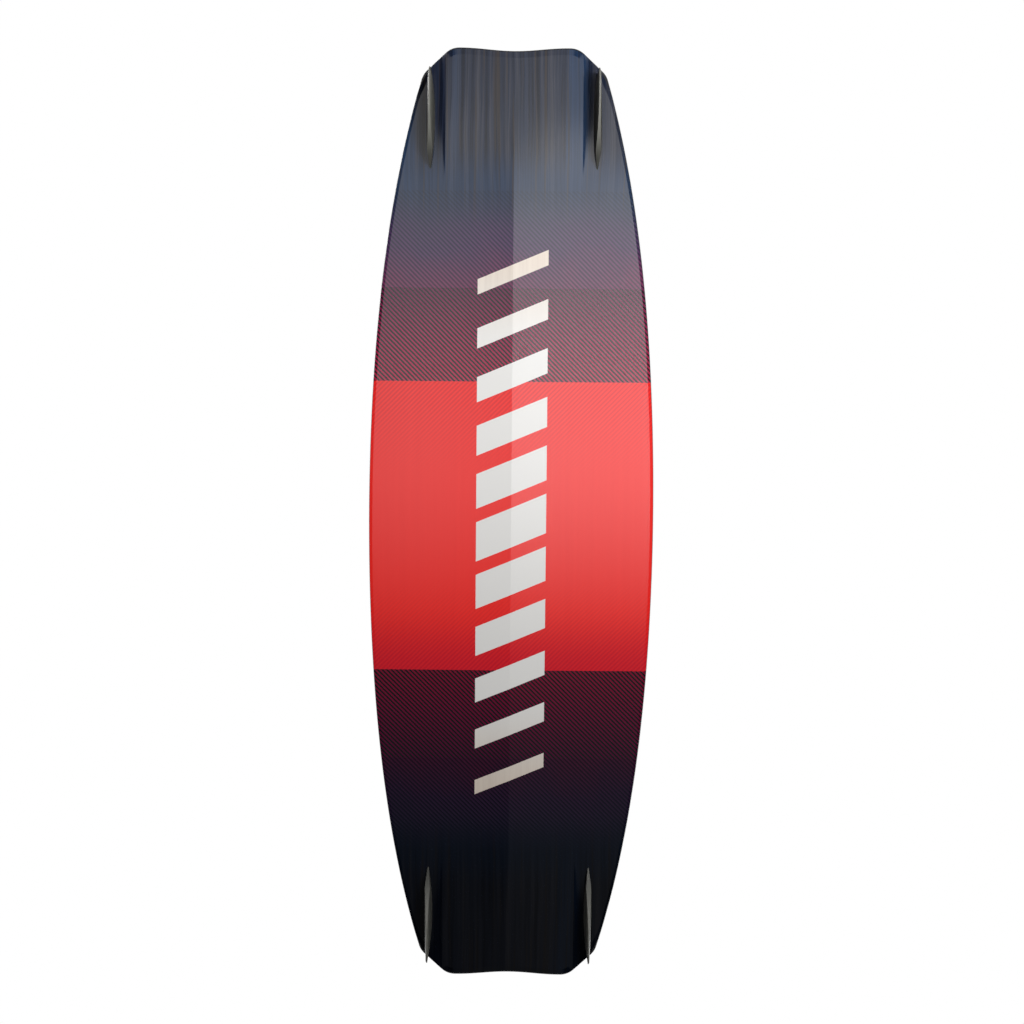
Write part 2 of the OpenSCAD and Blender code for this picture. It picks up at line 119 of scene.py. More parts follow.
def rounded(a, b, c, r, n=10):
    """The corner a, b, c rounded at b with radius r."""
    a, b, c = Vector(a), Vector(b), Vector(c)
    u, v = (a - b).normalized(), (c - b).normalized()
    half = math.acos(u.dot(v)) / 2
    m = b + (u + v).normalized() * (r / math.sin(half))
    p, q = b + u * (r / math.tan(half)) - m, b + v * (r / math.tan(half)) - m
    a0, a1 = math.atan2(p.y, p.x), math.atan2(q.y, q.x)
    if a1 - a0 > math.pi:
        a1 -= math.tau
    if a1 - a0 < -math.pi:
        a1 += math.tau
    return arc(m, r, a0, a1, n)


def quarter(d):
    """One quarter of the outline, inset by d, from the middle of the tip edge to the widest point."""
    rail_x = HALF_L - CUT_L
    a = (HALF_L - d, 0)
    b = (HALF_L - d, CUT_Y - MITRE_IN * d)
    c = (rail_x - MITRE_BACK * d, half_width(rail_x) - MITRE_OUT * d)
    back = rail_x - 3 * CORNER_R
    e = (back, half_width(back) - d)
    crest = TIP_CREST - MITRE_IN * d
    dip = [(HALF_L - d - TIP_DIP * (1 + math.cos(math.pi * i / 16)) / 2, crest * i / 16) for i in range(16)]
    last = rail_x - 8 * MM
    rail = [(last * (1 - i / 60), half_width(last * (1 - i / 60)) - d) for i in range(2, 61)]
    corners = rounded(a, b, c, max(CREST_R - d, 4 * MM)) + rounded(b, c, e, CORNER_R - d)
    return [Vector(p) for p in dip] + corners + [Vector(p) for p in rail]


def half_outline(d):
    """The left rail's side of the outline, from the nose to the tail."""
    q = quarter(d)
    return q + [Vector((-p.x, p.y)) for p in reversed(q[:-1])]


def outline(d):
    h = half_outline(d)
    return h + [Vector((p.x, -p.y)) for p in reversed(h[1:-1])]


# ---------------------------------------------------------------- mesh helpers
def placed(name, data):
    """A new object that holds data, put into the scene."""
    piece = bpy.data.objects.new(name, data)
    bpy.context.scene.collection.objects.link(piece)
    return piece


def new_object(name, verts, faces, body, flip=False):
    mesh = bpy.data.meshes.new(name)
    mesh.from_pydata([tuple(v) for v in verts], [], [tuple(reversed(f)) if flip else f for f in faces])
    mesh.validate()
    piece = placed(name, mesh)
    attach(piece, body)
    return piece


def shade(piece, angle, creases=()):
    """Smooth shading, sharp above angle and along the named vertex pairs."""
    mesh = piece.data
    pairs = {frozenset(c) for c in creases}
    bm = bmesh.new()
    bm.from_mesh(mesh)
    for f in bm.faces:
        f.smooth = True
    limit = math.radians(angle)
    for e in bm.edges:
        turned = len(e.link_faces) == 2 and e.calc_face_angle(0) > limit
        named = frozenset((e.verts[0].index, e.verts[1].index)) in pairs
        e.smooth = not (turned or named)
    bm.to_mesh(mesh)
    bm.free()


def outward(piece):
    """Turns every face outward."""
    bm = bmesh.new()
    bm.from_mesh(piece.data)
    bmesh.ops.recalc_face_normals(bm, faces=bm.faces)
    bm.to_mesh(piece.data)
    bm.free()
    return piece


def inside(p, loop):
    hit = False
    j = loop[-1]
    for q in loop:
        if (q.y > p.y) != (j.y > p.y) and p.x < (j.x - q.x) * (p.y - q.y) / (j.y - q.y) + q.x:
            hit = not hit
        j = q
    return hit


def turns(n):
    return [math.tau * i / n for i in range(n)]


def circle(x, y, r, n=20):
    return [Vector((x + r * math.cos(a), y + r * math.sin(a))) for a in turns(n)]


def triangulate(rings, holes, lines, points):
    """Triangles inside the first ring and outside the holes, keeping every ring, hole and line."""
    verts, edges = [], []
    for loop in rings + holes:
        start = len(verts)
        verts += loop
        edges += [(start + i, start + (i + 1) % len(loop)) for i in range(len(loop))]
    for line in lines:
        start = len(verts)
        verts += line
        edges += [(start + i, start + i + 1) for i in range(len(line) - 1)]
    verts += points
    out, _, faces, *_ = delaunay_2d_cdt(verts, edges, [], 0, 1e-7)
    kept = []
    for f in faces:
        mid = sum((out[i] for i in f), Vector((0, 0))) / len(f)
        if inside(mid, rings[0]) and not any(inside(mid, h) for h in holes):
            kept.append(f)
    return out, kept


def slab(name, rings, holes, lines, points, low, high, body):
    """A closed plate over a flat triangulation, between the surfaces low(p) and high(p)."""
    flat, faces = triangulate(rings, holes, lines, points)
    n = len(flat)
    count = {}
    for f in faces:
        for i in range(3):
            e = (f[i], f[(i + 1) % 3])
            count[frozenset(e)] = None if frozenset(e) in count else e
    rim = [e for e in count.values() if e]
    verts = [(p.x, p.y, low(p)) for p in flat] + [(p.x, p.y, high(p)) for p in flat]
    sides = [(a, b, b + n, a + n) for a, b in rim]
    body_faces = [tuple(reversed(f)) for f in faces] + [tuple(i + n for i in f) for f in faces] + sides
    used = sorted({i for f in body_faces for i in f})
    at = {v: k for k, v in enumerate(used)}
    kept = [tuple(at[i] for i in f) for f in body_faces]
    return outward(new_object(name, [verts[i] for i in used], kept, body))


def walls(loops, m, first=0):
    """Quads that join closed loops of m points, numbered one after another from first."""
    return [(first + i * m + j, first + i * m + (j + 1) % m,
             first + (i + 1) * m + (j + 1) % m, first + (i + 1) * m + j)
            for i in range(loops - 1) for j in range(m)]


def sweep(name, stations, body, flip=False):
    """A closed tube through loops of the same number of points."""
    m = len(stations[0])
    verts = [p for s in stations for p in s]
    faces = walls(len(stations), m)
    faces.append(tuple(reversed(range(m))))
    faces.append(tuple((len(stations) - 1) * m + j for j in range(m)))
    return outward(new_object(name, verts, faces, body, flip))


def grid_points(step, loop):
    """Points step apart inside the loop, clear of the board's centreline."""
    nx, ny = int(HALF_L / step), int(HALF_W / step)
    found = []
    for i in range(-nx, nx + 1):
        for j in range(-ny, ny + 1):
            p = Vector((i * step, (j + (0.5 if i % 2 else 0)) * step))
            if abs(p.y) > 2 * MM and inside(p, loop):
                found.append(p)
    return found


# ---------------------------------------------------------------- materials
class Graph:
    """A node tree, with short names for what it needs."""

    def __init__(self, owner):
        owner.use_nodes = True
        self.tree = owner.node_tree

    def add(self, kind, **settings):
        node = self.tree.nodes.new("ShaderNode" + kind)
        for key, value in settings.items():
            setattr(node, key, value)
        return node

    def link(self, value, socket):
        if isinstance(value, (int, float)):
            socket.default_value = value
        elif isinstance(value, (tuple, list)):
            socket.default_value = tuple(value) + (1,) * (len(socket.default_value) - len(value))
        else:
            self.tree.links.new(value, socket)

    def math(self, operation, a, b=0.0, c=0.0):
        node = self.add("Math", operation=operation)
        for value, socket in zip((a, b, c), node.inputs):
            self.link(value, socket)
        return node.outputs[0]

    def mul(self, a, b):
        return self.math("MULTIPLY", a, b)

    def madd(self, a, b, c):
        """a times b, plus c."""
        return self.math("MULTIPLY_ADD", a, b, c)

    def less(self, a, b):
        return self.math("SUBTRACT", a, b)

    def over(self, a, b):
        return self.math("DIVIDE", a, b)

    def larger(self, a, b):
        return self.math("MAXIMUM", a, b)

    def size(self, a):
        return self.math("ABSOLUTE", a)

    def fract(self, a):
        return self.math("FRACT", a)

    def place(self):
        return self.add("TexCoord").outputs["Object"]

    def split(self, vector):
        node = self.add("SeparateXYZ")
        self.link(vector, node.inputs[0])
        return node.outputs

    def xyz(self):
        return self.split(self.place())

    def at(self, x, y, z):
        node = self.add("CombineXYZ")
        for value, socket in zip((x, y, z), node.inputs):
            self.link(value, socket)
        return node.outputs[0]

    def noise(self, vector, scale, detail, rough):
        node = self.add("TexNoise")
        self.link(vector, node.inputs["Vector"])
        for key, value in (("Scale", scale), ("Detail", detail), ("Roughness", rough)):
            node.inputs[key].default_value = value
        return node.outputs["Fac"]

    def noise_at(self, x, y, z, detail, rough=0.55):
        return self.noise(self.at(x, y, z), 1.0, detail, rough)

    def grain(self, scale, detail, rough=0.55):
        """Noise in the piece's own frame, with one scale or one for each axis."""
        if not isinstance(scale, tuple):
            return self.noise(self.place(), scale, detail, rough)
        node = self.add("Mapping")
        self.link(self.place(), node.inputs["Vector"])
        node.inputs["Scale"].default_value = scale
        return self.noise(node.outputs[0], 1.0, detail, rough)

    def step(self, value, lo, hi, to_lo=0.0, to_hi=1.0, kind="SMOOTHSTEP"):
        node = self.add("MapRange", interpolation_type=kind)
        for v, socket in zip((value, lo, hi, to_lo, to_hi), node.inputs):
            self.link(v, socket)
        return node.outputs[0]

    def fall(self, value, lo, hi):
        """1 below lo, 0 above hi."""
        return self.step(value, lo, hi, 1.0, 0.0)

    def mix(self, share, a, b, kind="RGBA"):
        node = self.add("Mix", data_type=kind)
        first, out = {"RGBA": (6, 2), "FLOAT": (2, 0)}[kind]
        for v, i in zip((share, a, b), (0, first, first + 1)):
            self.link(v, node.inputs[i])
        return node.outputs[out]

    def ramp(self, value, *stops):
        node = self.add("ValToRGB")
        bar = node.color_ramp.elements
        while len(bar) < len(stops):
            bar.new(0.5)
        for e, (where, colour) in zip(bar, stops):
            e.position = where
            e.color = tuple(colour) + (1,)
        self.link(value, node.inputs[0])
        return node.outputs[0]


class Nodes(Graph):
    """A material with a Principled shader."""

    def __init__(self, name, **sockets):
        self.material = bpy.data.materials.new(name)
        super().__init__(self.material)
        self.shader = self.tree.nodes["Principled BSDF"]
        for key, value in sockets.items():
            self.shader.inputs[key.replace("_", " ")].default_value = value

    def colour(self, value):
        self.link(value, self.shader.inputs["Base Color"])

    def rough(self, value):
        self.link(value, self.shader.inputs["Roughness"])

    def bump(self, height, distance, strength=1.0):
        node = self.add("Bump")
        node.inputs["Distance"].default_value = distance
        node.inputs["Strength"].default_value = strength
        self.link(height, node.inputs["Height"])
        self.link(node.outputs[0], self.shader.inputs["Normal"])


def put(piece, look):
    piece.data.materials.clear()
    piece.data.materials.append(LOOKS[look].material)


def dress(piece, angle, look, creases=()):
    """Shading and material in one."""
    shade(piece, angle, creases)
    put(piece, look)


def grey(v):
    return (v, v, v)


def stripes(n, x, y, slope, pitch, share=0.5, soft=0.12):
    """1 on slanting lines that repeat every pitch along x, 0 between them."""
    t = n.madd(y, slope, x)
    t = n.fract(n.over(t, pitch))
    away = n.size(n.less(t, 0.5))
    return n.fall(away, share / 2 - soft / 2, share / 2 + soft / 2)


def wood(n, x, y, salt=0.0):
    """Lengthwise grain: broad planks, streaks and fine pores, each from 0 to 1."""
    bend = n.noise_at(n.mul(x, 5.0), n.mul(y, 12.0), salt, 2.0)
    across = n.madd(bend, 0.011, y)
    streak = n.noise_at(n.mul(x, 1.3), n.mul(across, 95.0), salt, 5.0, 0.68)
    plank = n.noise_at(n.mul(x, 0.15), n.mul(across, 17.0), salt + 3.0, 1.0)
    pore = n.noise_at(n.mul(x, 6.0), n.mul(across, 420.0), salt, 2.0)
    return plank, streak, pore


RED_X, HATCH_X, FADE_X = 212.5 * MM, 347 * MM, 486 * MM   # where the print changes, from the middle
HATCH_PITCH = 6.8 * MM
MARK_HY, MARK_X, MARK_PITCH = 51 * MM, 405 * MM, 74 * MM
MARK_SLANT, MARK_LAST = -0.42, 5     # of the slanting bars: rise along x per y, and how many each way
DECK_BAR_PITCH = 22 * MM
PRINT_EDGE = 0.4 * MM                # half the width over which two inks meet


def stained(n, x, y, plank, streak, pore):
    """Dark stained wood, bluer along some planks, in a strip beside the panel and near the hatching."""
    stain = n.ramp(streak, (0.36, (0.002, 0.004, 0.012)), (0.49, (0.014, 0.020, 0.041)),
                   (0.62, (0.042, 0.044, 0.060)))
    strip = n.mul(n.step(y, 74 * MM, 76 * MM), n.fall(y, 98 * MM, 101 * MM))
    blue = n.larger(n.step(plank, 0.52, 0.62), strip)
    blue = n.larger(blue, n.step(n.size(x), FADE_X + 8 * MM, FADE_X + 70 * MM, 0.75, 0.0))
    stain = n.mix(n.mul(blue, 0.7), stain, (0.011, 0.036, 0.092))
    figure = n.madd(n.noise_at(n.mul(x, 7.0), y, 2.0, 2.0), 0.010, y)
    vein = n.noise_at(n.mul(x, 2.0), n.mul(figure, 150.0), 11.0, 3.0)
    brown = n.mul(n.step(vein, 0.55, 0.64), 0.55)
    stain = n.mix(brown, stain, (0.044, 0.031, 0.020))
    return n.mix(n.step(pore, 0.42, 0.72, 0.0, 0.45), stain, (0.002, 0.003, 0.006))


def barred(n, x, y, streak, colour):
    """Lays a column of slanting bars, wider in the middle of the board, over the colour."""
    s = n.madd(y, MARK_SLANT, x)
    t = n.fract(n.math("ADD", n.over(s, MARK_PITCH), 0.5))
    off = n.mul(n.size(n.less(t, 0.5)), MARK_PITCH)
    cell = n.size(n.math("ROUND", n.over(s, MARK_PITCH)))
    bar = n.step(cell, 0.0, MARK_LAST, 29 * MM, 11 * MM, kind="LINEAR")
    in_bar = n.fall(n.less(off, bar), -PRINT_EDGE, PRINT_EDGE)
    side = n.fall(n.size(y), MARK_HY - PRINT_EDGE, MARK_HY + PRINT_EDGE)
    shape = n.mul(n.mul(in_bar, side), n.fall(cell, MARK_LAST + 0.2, MARK_LAST + 0.4))
    cream = n.step(n.size(x), 250 * MM, MARK_X)
    bare = n.mix(n.step(streak, 0.3, 0.7), (0.62, 0.50, 0.40), (0.74, 0.62, 0.50))
    white = n.mix(n.mul(cream, 0.75), (0.80, 0.79, 0.77), bare)
    return n.mix(shape, colour, white)


def printed(n, x, y, mark):
    """The board's print: red in the middle, hatched bands, then stained wood. With mark, the base's
    print, which carries the bars and is made darker to the tail as painted shade, and without it the deck's."""
    def ink_and_tail_shade(span, most):
        """The share of dark ink: even on the deck, and on the base a painted shade that grows to the tail."""
        return n.step(x, -span, span, most, 0.0) if mark else 0.3

    away = n.size(x)
    plank, streak, pore = wood(n, x, y)
    back = stripes(n, x, y, 1.0, HATCH_PITCH)
    forth = stripes(n, x, y, -1.0, HATCH_PITCH)
    stain = stained(n, x, y, plank, streak, pore)
    # painted shade: on the base the stain is made darker towards the tail; on the deck it is evenly darker
    # ink
    stain = n.mix(ink_and_tail_shade(0.35, 0.85), stain, (0.0010, 0.0013, 0.0022))

    # fading hatch
    along = n.step(away, HATCH_X, FADE_X, kind="LINEAR")
    cloud = n.noise_at(n.mul(x, 9.0), n.mul(y, 14.0), 5.0, 3.0)
    along = n.madd(n.less(cloud, 0.5), 0.55, along)
    warm = n.ramp(along, (0.0, (0.150, 0.024, 0.080)), (0.42, (0.072, 0.029, 0.088)),
                  (1.0, (0.023, 0.033, 0.070)))
    cool = n.ramp(along, (0.0, (0.042, 0.010, 0.036)), (0.42, (0.020, 0.013, 0.041)),
                  (1.0, (0.010, 0.016, 0.036)))
    hatched = n.fall(away, FADE_X - 1 * MM, FADE_X + 1 * MM)
    fade = n.mix(n.madd(n.less(back, 0.5), hatched, 0.5), cool, warm)
    # painted shade: on the base the fading hatch is made darker towards the tail too
    fade = n.mix(ink_and_tail_shade(0.2, 0.68), fade, (0.0016, 0.0012, 0.0026))
    outer = n.mix(n.step(away, FADE_X - 60 * MM, FADE_X + 20 * MM), fade, stain)
    over_stain = n.mul(hatched, n.step(away, FADE_X - 60 * MM, FADE_X - 5 * MM, 0.0, 0.35))
    outer = n.mix(n.mul(n.less(1.0, back), over_stain), outer, (0.004, 0.006, 0.014))

    # dark bands, where the lines go from crimson by the red to purple outside
    band = n.step(away, RED_X, HATCH_X, kind="LINEAR")
    line = n.ramp(band, (0.0, (0.40, 0.012, 0.056)), (0.5, (0.27, 0.010, 0.062)),
                  (1.0, (0.125, 0.012, 0.056)))
    # painted shade: on the base the lines of the dark bands are made darker towards the tail as well
    line = n.mix(ink_and_tail_shade(0.2, 0.52), line, (0.010, 0.0008, 0.006))
    dark = n.mix(back, (0.006, 0.009, 0.011), line)
    outer = n.mix(n.step(away, HATCH_X - PRINT_EDGE, HATCH_X + PRINT_EDGE), dark, outer)

    # red middle, with its own lines that fade out towards the handle
    red = n.mix(n.step(streak, 0.30, 0.70), (0.865, 0.020, 0.016), (0.885, 0.022, 0.017))
    lined = n.mul(forth, n.step(away, 60 * MM, RED_X, 0.0, 0.75))
    red = n.mix(lined, red, (0.64, 0.012, 0.018))
    # painted shade: on the base the red is darkened towards its tail end
    if mark:
        red = n.mix(n.step(x, -RED_X, -115 * MM, 0.42, 0.0), red, (0.42, 0.006, 0.036))
    colour = n.mix(n.step(away, RED_X - PRINT_EDGE, RED_X + PRINT_EDGE), red, outer)
    return barred(n, x, y, streak, colour) if mark else colour, streak, pore


def base_print():
    n = Nodes("base_print", Coat_Weight=1.0, Coat_Roughness=0.10, Specular_IOR_Level=0.0)
    x, y, _ = n.xyz()
    colour, streak, pore = printed(n, x, y, True)
    n.colour(colour)
    n.rough(n.step(pore, 0.3, 0.7, 0.26, 0.36))
    n.bump(n.madd(pore, 0.4, streak), 0.12 * MM, 0.25)
    return n


def deck_print():
    n = Nodes("deck_print", Coat_Weight=0.55, Coat_Roughness=0.28)
    x, y, _ = n.xyz()
    away = n.size(x)
    colour, streak, _ = printed(n, x, y, False)
    dark = n.mix(stripes(n, x, y, 1.0, HATCH_PITCH), (0.010, 0.011, 0.014), (0.020, 0.022, 0.028))
    # the red fills a block with pointed ends round the handle, and the rest of the middle stays dark
    wedge = n.madd(n.size(y), 0.55, away)
    outside = n.mix(n.step(away, 215 * MM, 360 * MM), dark, colour)
    colour = n.mix(n.step(wedge, 150 * MM, 151 * MM), colour, outside)
    pin = n.mul(n.step(wedge, 156 * MM, 156.6 * MM), n.fall(wedge, 160 * MM, 160.6 * MM))
    # four short slanting bars near each tip
    shift = n.madd(y, MARK_SLANT, away)
    t = n.size(n.less(n.fract(n.over(shift, DECK_BAR_PITCH)), 0.5))
    bars = n.mul(n.fall(t, 0.22, 0.24), n.fall(n.size(y), 30 * MM, 30.5 * MM))
    bars = n.mul(bars, n.step(shift, 440 * MM, 440.5 * MM))
    bars = n.mul(bars, n.fall(shift, 528 * MM, 528.5 * MM))
    colour = n.mix(n.larger(pin, bars), colour, (0.72, 0.70, 0.68))
    n.colour(colour)
    grit = n.grain(2600.0, 2.0)
    n.rough(n.step(grit, 0.3, 0.7, 0.36, 0.52))
    n.bump(n.madd(streak, 0.8, grit), 0.10 * MM, 0.35)
    return n


def rail_plastic():
    n = Nodes("rail_plastic", Coat_Weight=0.2, Coat_Roughness=0.3)
    scuff = n.grain((12, 90, 300), 4.0, 0.65)
    n.colour(n.mix(n.step(scuff, 0.55, 0.75), (0.011, 0.012, 0.015), (0.028, 0.029, 0.032)))
    n.rough(n.step(scuff, 0.3, 0.7, 0.34, 0.55))
    n.bump(n.grain(1800.0, 2.0), 0.06 * MM, 0.4)
    return n


def core_wood():
    n = Nodes("core_wood", Roughness=0.6)
    x, y, _ = n.xyz()
    _, streak, pore = wood(n, x, y, 7.0)
    n.colour(n.ramp(streak, (0.3, (0.36, 0.22, 0.11)), (0.7, (0.62, 0.45, 0.27))))
    n.bump(pore, 0.1 * MM, 0.4)
    return n


def fin_plastic():
    """Smoky plastic, with a painted highlight: paler where the blade is thin, standing in for the light along
    its edge and through it.
    """
    n = Nodes("fin_plastic", Transmission_Weight=0.12, IOR=1.46)
    cloud = n.grain((9, 30, 22), 3.0)
    smoke = n.ramp(cloud, (0.3, (0.062, 0.062, 0.055)), (0.7, (0.098, 0.098, 0.088)))
    # painted highlight: the blade's lower, thinner part is made paler
    thin = n.fall(n.xyz()[2], 0.0, 24 * MM)
    n.colour(n.mix(thin, smoke, (0.20, 0.20, 0.178)))
    swirl = n.grain((60, 260, 260), 3.0)
    n.rough(n.step(swirl, 0.3, 0.7, 0.30, 0.40))
    n.bump(swirl, 0.01 * MM, 0.3)
    return n


def grained(name, scale, detail, dark, light, rough, bump, **sockets):
    """One grain that sets the colour, the roughness and, as bump, a depth and a strength."""
    n = Nodes(name, **sockets)
    grain = n.grain(scale, detail)
    n.colour(n.mix(grain, dark, light))
    n.rough(n.step(grain, 0.3, 0.7, *rough))
    n.bump(grain, *bump)
    return n


def steel(name, tone):
    return grained(name, (700, 700, 160), 2.0, grey(tone * 0.93), grey(tone), (0.24, 0.30),
                   (0.003 * MM, 0.2), Metallic=1.0)


def moulded(name, dark, light, roughness, grain=1500.0):
    """Moulded rubber or plastic with a fine spark-eroded grain."""
    n = Nodes(name)
    fine = n.grain(grain, 2.0)
    broad = n.grain(28.0, 3.0)
    n.colour(n.mix(n.madd(broad, 0.6, n.mul(fine, 0.3)), dark, light))
    n.rough(n.step(fine, 0.3, 0.7, roughness - 0.06, roughness + 0.08))
    n.bump(fine, 0.08 * MM, 0.6)
    return n


def pad_foam():
    """Closed-cell foam: fine pores, paler in broad patches."""
    n = Nodes("pad_foam", Sheen_Weight=0.25, Sheen_Roughness=0.5)
    pores = n.add("TexVoronoi")
    n.link(n.place(), pores.inputs["Vector"])
    pores.inputs["Scale"].default_value = 900.0
    cell = pores.outputs["Distance"]
    broad = n.grain(35.0, 4.0)
    n.colour(n.mix(n.step(broad, 0.35, 0.7), (0.026, 0.028, 0.033), (0.046, 0.049, 0.056)))
    n.rough(n.step(cell, 0.0, 0.7, 0.92, 0.74))
    n.bump(n.madd(broad, 0.5, cell), 0.25 * MM, 0.7)
    return n


def woven(name, dark, light, pitch):
    """A plain weave of threads across and along a strap, read from its UVs in metres."""
    n = Nodes(name, Sheen_Weight=0.35, Sheen_Roughness=0.4)
    u, v, _ = n.split(n.add("UVMap").outputs[0])
    wave = math.tau / pitch
    su = n.math("SINE", n.mul(u, wave))
    sv = n.math("SINE", n.mul(v, wave))
    weave = n.madd(n.mul(su, sv), 0.5, 0.5)
    broad = n.grain(45.0, 3.0)
    # painted shade: darker where the weave sinks between the threads, paler on the raised ones; the broad
    # noise is the webbing's own tone
    n.colour(n.mix(n.madd(weave, 0.6, n.mul(broad, 0.4)), dark, light))
    n.rough(n.step(weave, 0.0, 1.0, 0.88, 0.66))
    n.bump(weave, 0.25 * MM, 0.8)
    return n


def lining():
    """Brushed neoprene."""
    n = Nodes("lining", Sheen_Weight=0.6, Sheen_Roughness=0.5)
    fuzz = n.grain(1300.0, 3.0, 0.7)
    broad = n.grain(30.0, 3.0)
    n.colour(n.mix(n.madd(broad, 0.6, n.mul(fuzz, 0.4)), grey(0.016), grey(0.048)))
    n.rough(n.step(fuzz, 0.3, 0.7, 0.82, 0.96))
    n.bump(fuzz, 0.18 * MM, 0.7)
    return n


LOOKS = {
    "base": base_print(),
    "deck": deck_print(),
    "rail": rail_plastic(),
    "core": core_wood(),
    "fin": fin_plastic(),
    "screw": steel("screw_steel", 0.62),
    "washer": steel("washer_steel", 0.70),
    "brass": grained("brass", 700.0, 3.0, (0.42, 0.26, 0.08), (0.66, 0.45, 0.17), (0.24, 0.42),
                     (0.02 * MM, 0.5), Metallic=1.0),
    "handle": moulded("handle_rubber", (0.010, 0.010, 0.012), (0.030, 0.030, 0.033), 0.58),
    "plate": moulded("plate_nylon", (0.012, 0.012, 0.014), (0.032, 0.032, 0.035), 0.50, 2200.0),
    "foam": pad_foam(),
    "layer": grained("foam_layer", 900.0, 3.0, (0.34, 0.012, 0.016), (0.52, 0.028, 0.030),
                     (0.78, 0.92), (0.2 * MM, 0.6), Sheen_Weight=0.2),
    "band": woven("band_webbing", grey(0.009), grey(0.034), 1.6 * MM),
    "flap": woven("flap_fabric", (0.30, 0.010, 0.014), (0.62, 0.030, 0.034), 1.3 * MM),
    "lining": lining(),
    "tab": moulded("tab_rubber", (0.014, 0.014, 0.016), (0.034, 0.034, 0.037), 0.6),
    "thread": grained("thread_pale", 2400.0, 2.0, (0.252, 0.252, 0.264), (0.42, 0.42, 0.44),
                      (0.55, 0.8), (0.1 * MM, 0.5), Sheen_Weight=0.3),
}

CAD_LOOKS = {
    "core": "core",
    "brass": "fin_inserts deck_inserts handle_inserts strap_nuts_nose strap_nuts_tail",
    "screw": "fin_screws handle_screws pad_screws strap_screws_nose strap_screws_tail",
    "washer": "fin_washers handle_washers pad_washers",
    "fin": "fin_nose_left fin_nose_right fin_tail_left fin_tail_right",
    "plate": "pad_plate_nose pad_plate_tail",
}
for look, nodes in CAD_LOOKS.items():
    for node in nodes.split():
        put(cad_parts[node], look)


# ---------------------------------------------------------------- base, deck and rails
def relief(p):
    """How far the base stands proud of its plain curve: a shallow V, and at each tip a flatter panel."""
    away, side = abs(p.x), abs(p.y)
    vee = KEEL * (1 - side / HALF_W) ** 3
    rail = half_width(min(away, HALF_L - CUT_L))
    if side <= PANEL_Y:
        tip = KEEL + (PANEL_SIDE - KEEL) * side / PANEL_Y
    elif side <= PANEL_Y + PANEL_WALL:
        tip = PANEL_SIDE + (VALLEY - PANEL_SIDE) * (side - PANEL_Y) / PANEL_WALL
    else:
        out = min(1.0, (side - PANEL_Y - PANEL_WALL) / (rail - PANEL_Y - PANEL_WALL))
        shore = smooth(VALLEY_END[0], VALLEY_END[1], away)
        tip = VALLEY * (1 - out) ** 2.5 * (1 - shore) + PANEL_SIDE * (1 - 0.3 * out) * shore
    return vee + smooth(PANEL_X[0], PANEL_X[1], away) * (tip - vee)


base_drop = {}      # how far the base's edge lies over its plain curve, by the key of each point


def key(p):
    """A point's place in the plan, to look it up by."""
    return (round(p.x, 5), round(p.y, 5))


def base_under(p):
    if key(p) in base_drop:
        return base_z(p.x) + base_drop[key(p)]
    return base_z(p.x) - relief(p)


def near_tip(p):
    """0 along the rails, 1 at the tip edges."""
    return smooth(HALF_L - CUT_L - BLEND_X, HALF_L - CUT_L, abs(p.x))


def banded(narrow, wide):
    """An inset outline whose distance from the edge is narrow along the rails and wide at the tips."""
    return [p.lerp(q, near_tip(p)) for p, q in zip(outline(narrow), outline(wide))]


def reach(loop, y):
    """How far towards the nose a loop's edge lies at that y."""
    for p, q in zip(loop, loop[1:]):
        if p.x > 0 and min(p.y, q.y) <= y <= max(p.y, q.y) and p.y != q.y:
            return p.x + (q.x - p.x) * (y - p.y) / (q.y - p.y)
    return loop[0].x


def creases_of(piece, ring, folded=lambda a, b: False):
    """The edges that lie along the ring, or whose two ends are folded."""
    keys = {key(p) for p in ring}
    found = []
    for e in piece.data.edges:
        a, b = (piece.data.vertices[i].co for i in e.vertices)
        if (key(a) in keys and key(b) in keys) or folded(a, b):
            found.append(tuple(e.vertices))
    return found


def lengthwise(y, x0, x1, n):
    return [Vector((x0 + (x1 - x0) * i / n, y)) for i in range(n + 1)]


def make_base():
    """The printed base: bevelled round its edge, with the V, the panels and their walls as mesh lines."""
    edge = outline(EDGE_IN)
    ring = banded(RAIL_BAND, TIP_BAND)
    inner = banded(RAIL_BAND + 3 * MM, TIP_BAND + 3 * MM)
    for p in edge:
        base_drop[key(p)] = RAIL_BEVEL + (BASE_BEVEL - RAIL_BEVEL) * near_tip(p) - relief(p)
    tip = reach(ring, 0.0)
    lines = [lengthwise(0, -tip, tip, 120)]
    for end in (-1, 1):
        for side in (-1, 1):
            for y in (PANEL_Y, PANEL_Y + PANEL_WALL, PANEL_Y + 4 * MM, PANEL_Y + 9 * MM):
                lines.append(lengthwise(side * y, end * (PANEL_X[0] - 6 * MM), end * reach(edge, y), 48))
    points = grid_points(9 * MM, inner)
    points = [p for p in points
              if abs(p.x) < PANEL_X[0] - 10 * MM or not PANEL_Y - 3 * MM < abs(p.y) < PANEL_Y + 12 * MM]

    def top(p):
        return base_z(p.x) + SKIN

    base = slab("base_laminate_printed", [edge, ring, inner], [], lines, points, base_under, top,
                "board")
    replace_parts(base, "base_laminate")

    def folded(a, b):
        on_centre = abs(a.y) < 1e-6 and abs(b.y) < 1e-6
        return on_centre or all(abs(abs(p.y) - PANEL_Y) < 1e-6 and abs(p.x) > PANEL_X[0] for p in (a, b))

    dress(base, 30, "base", creases_of(base, ring, folded))


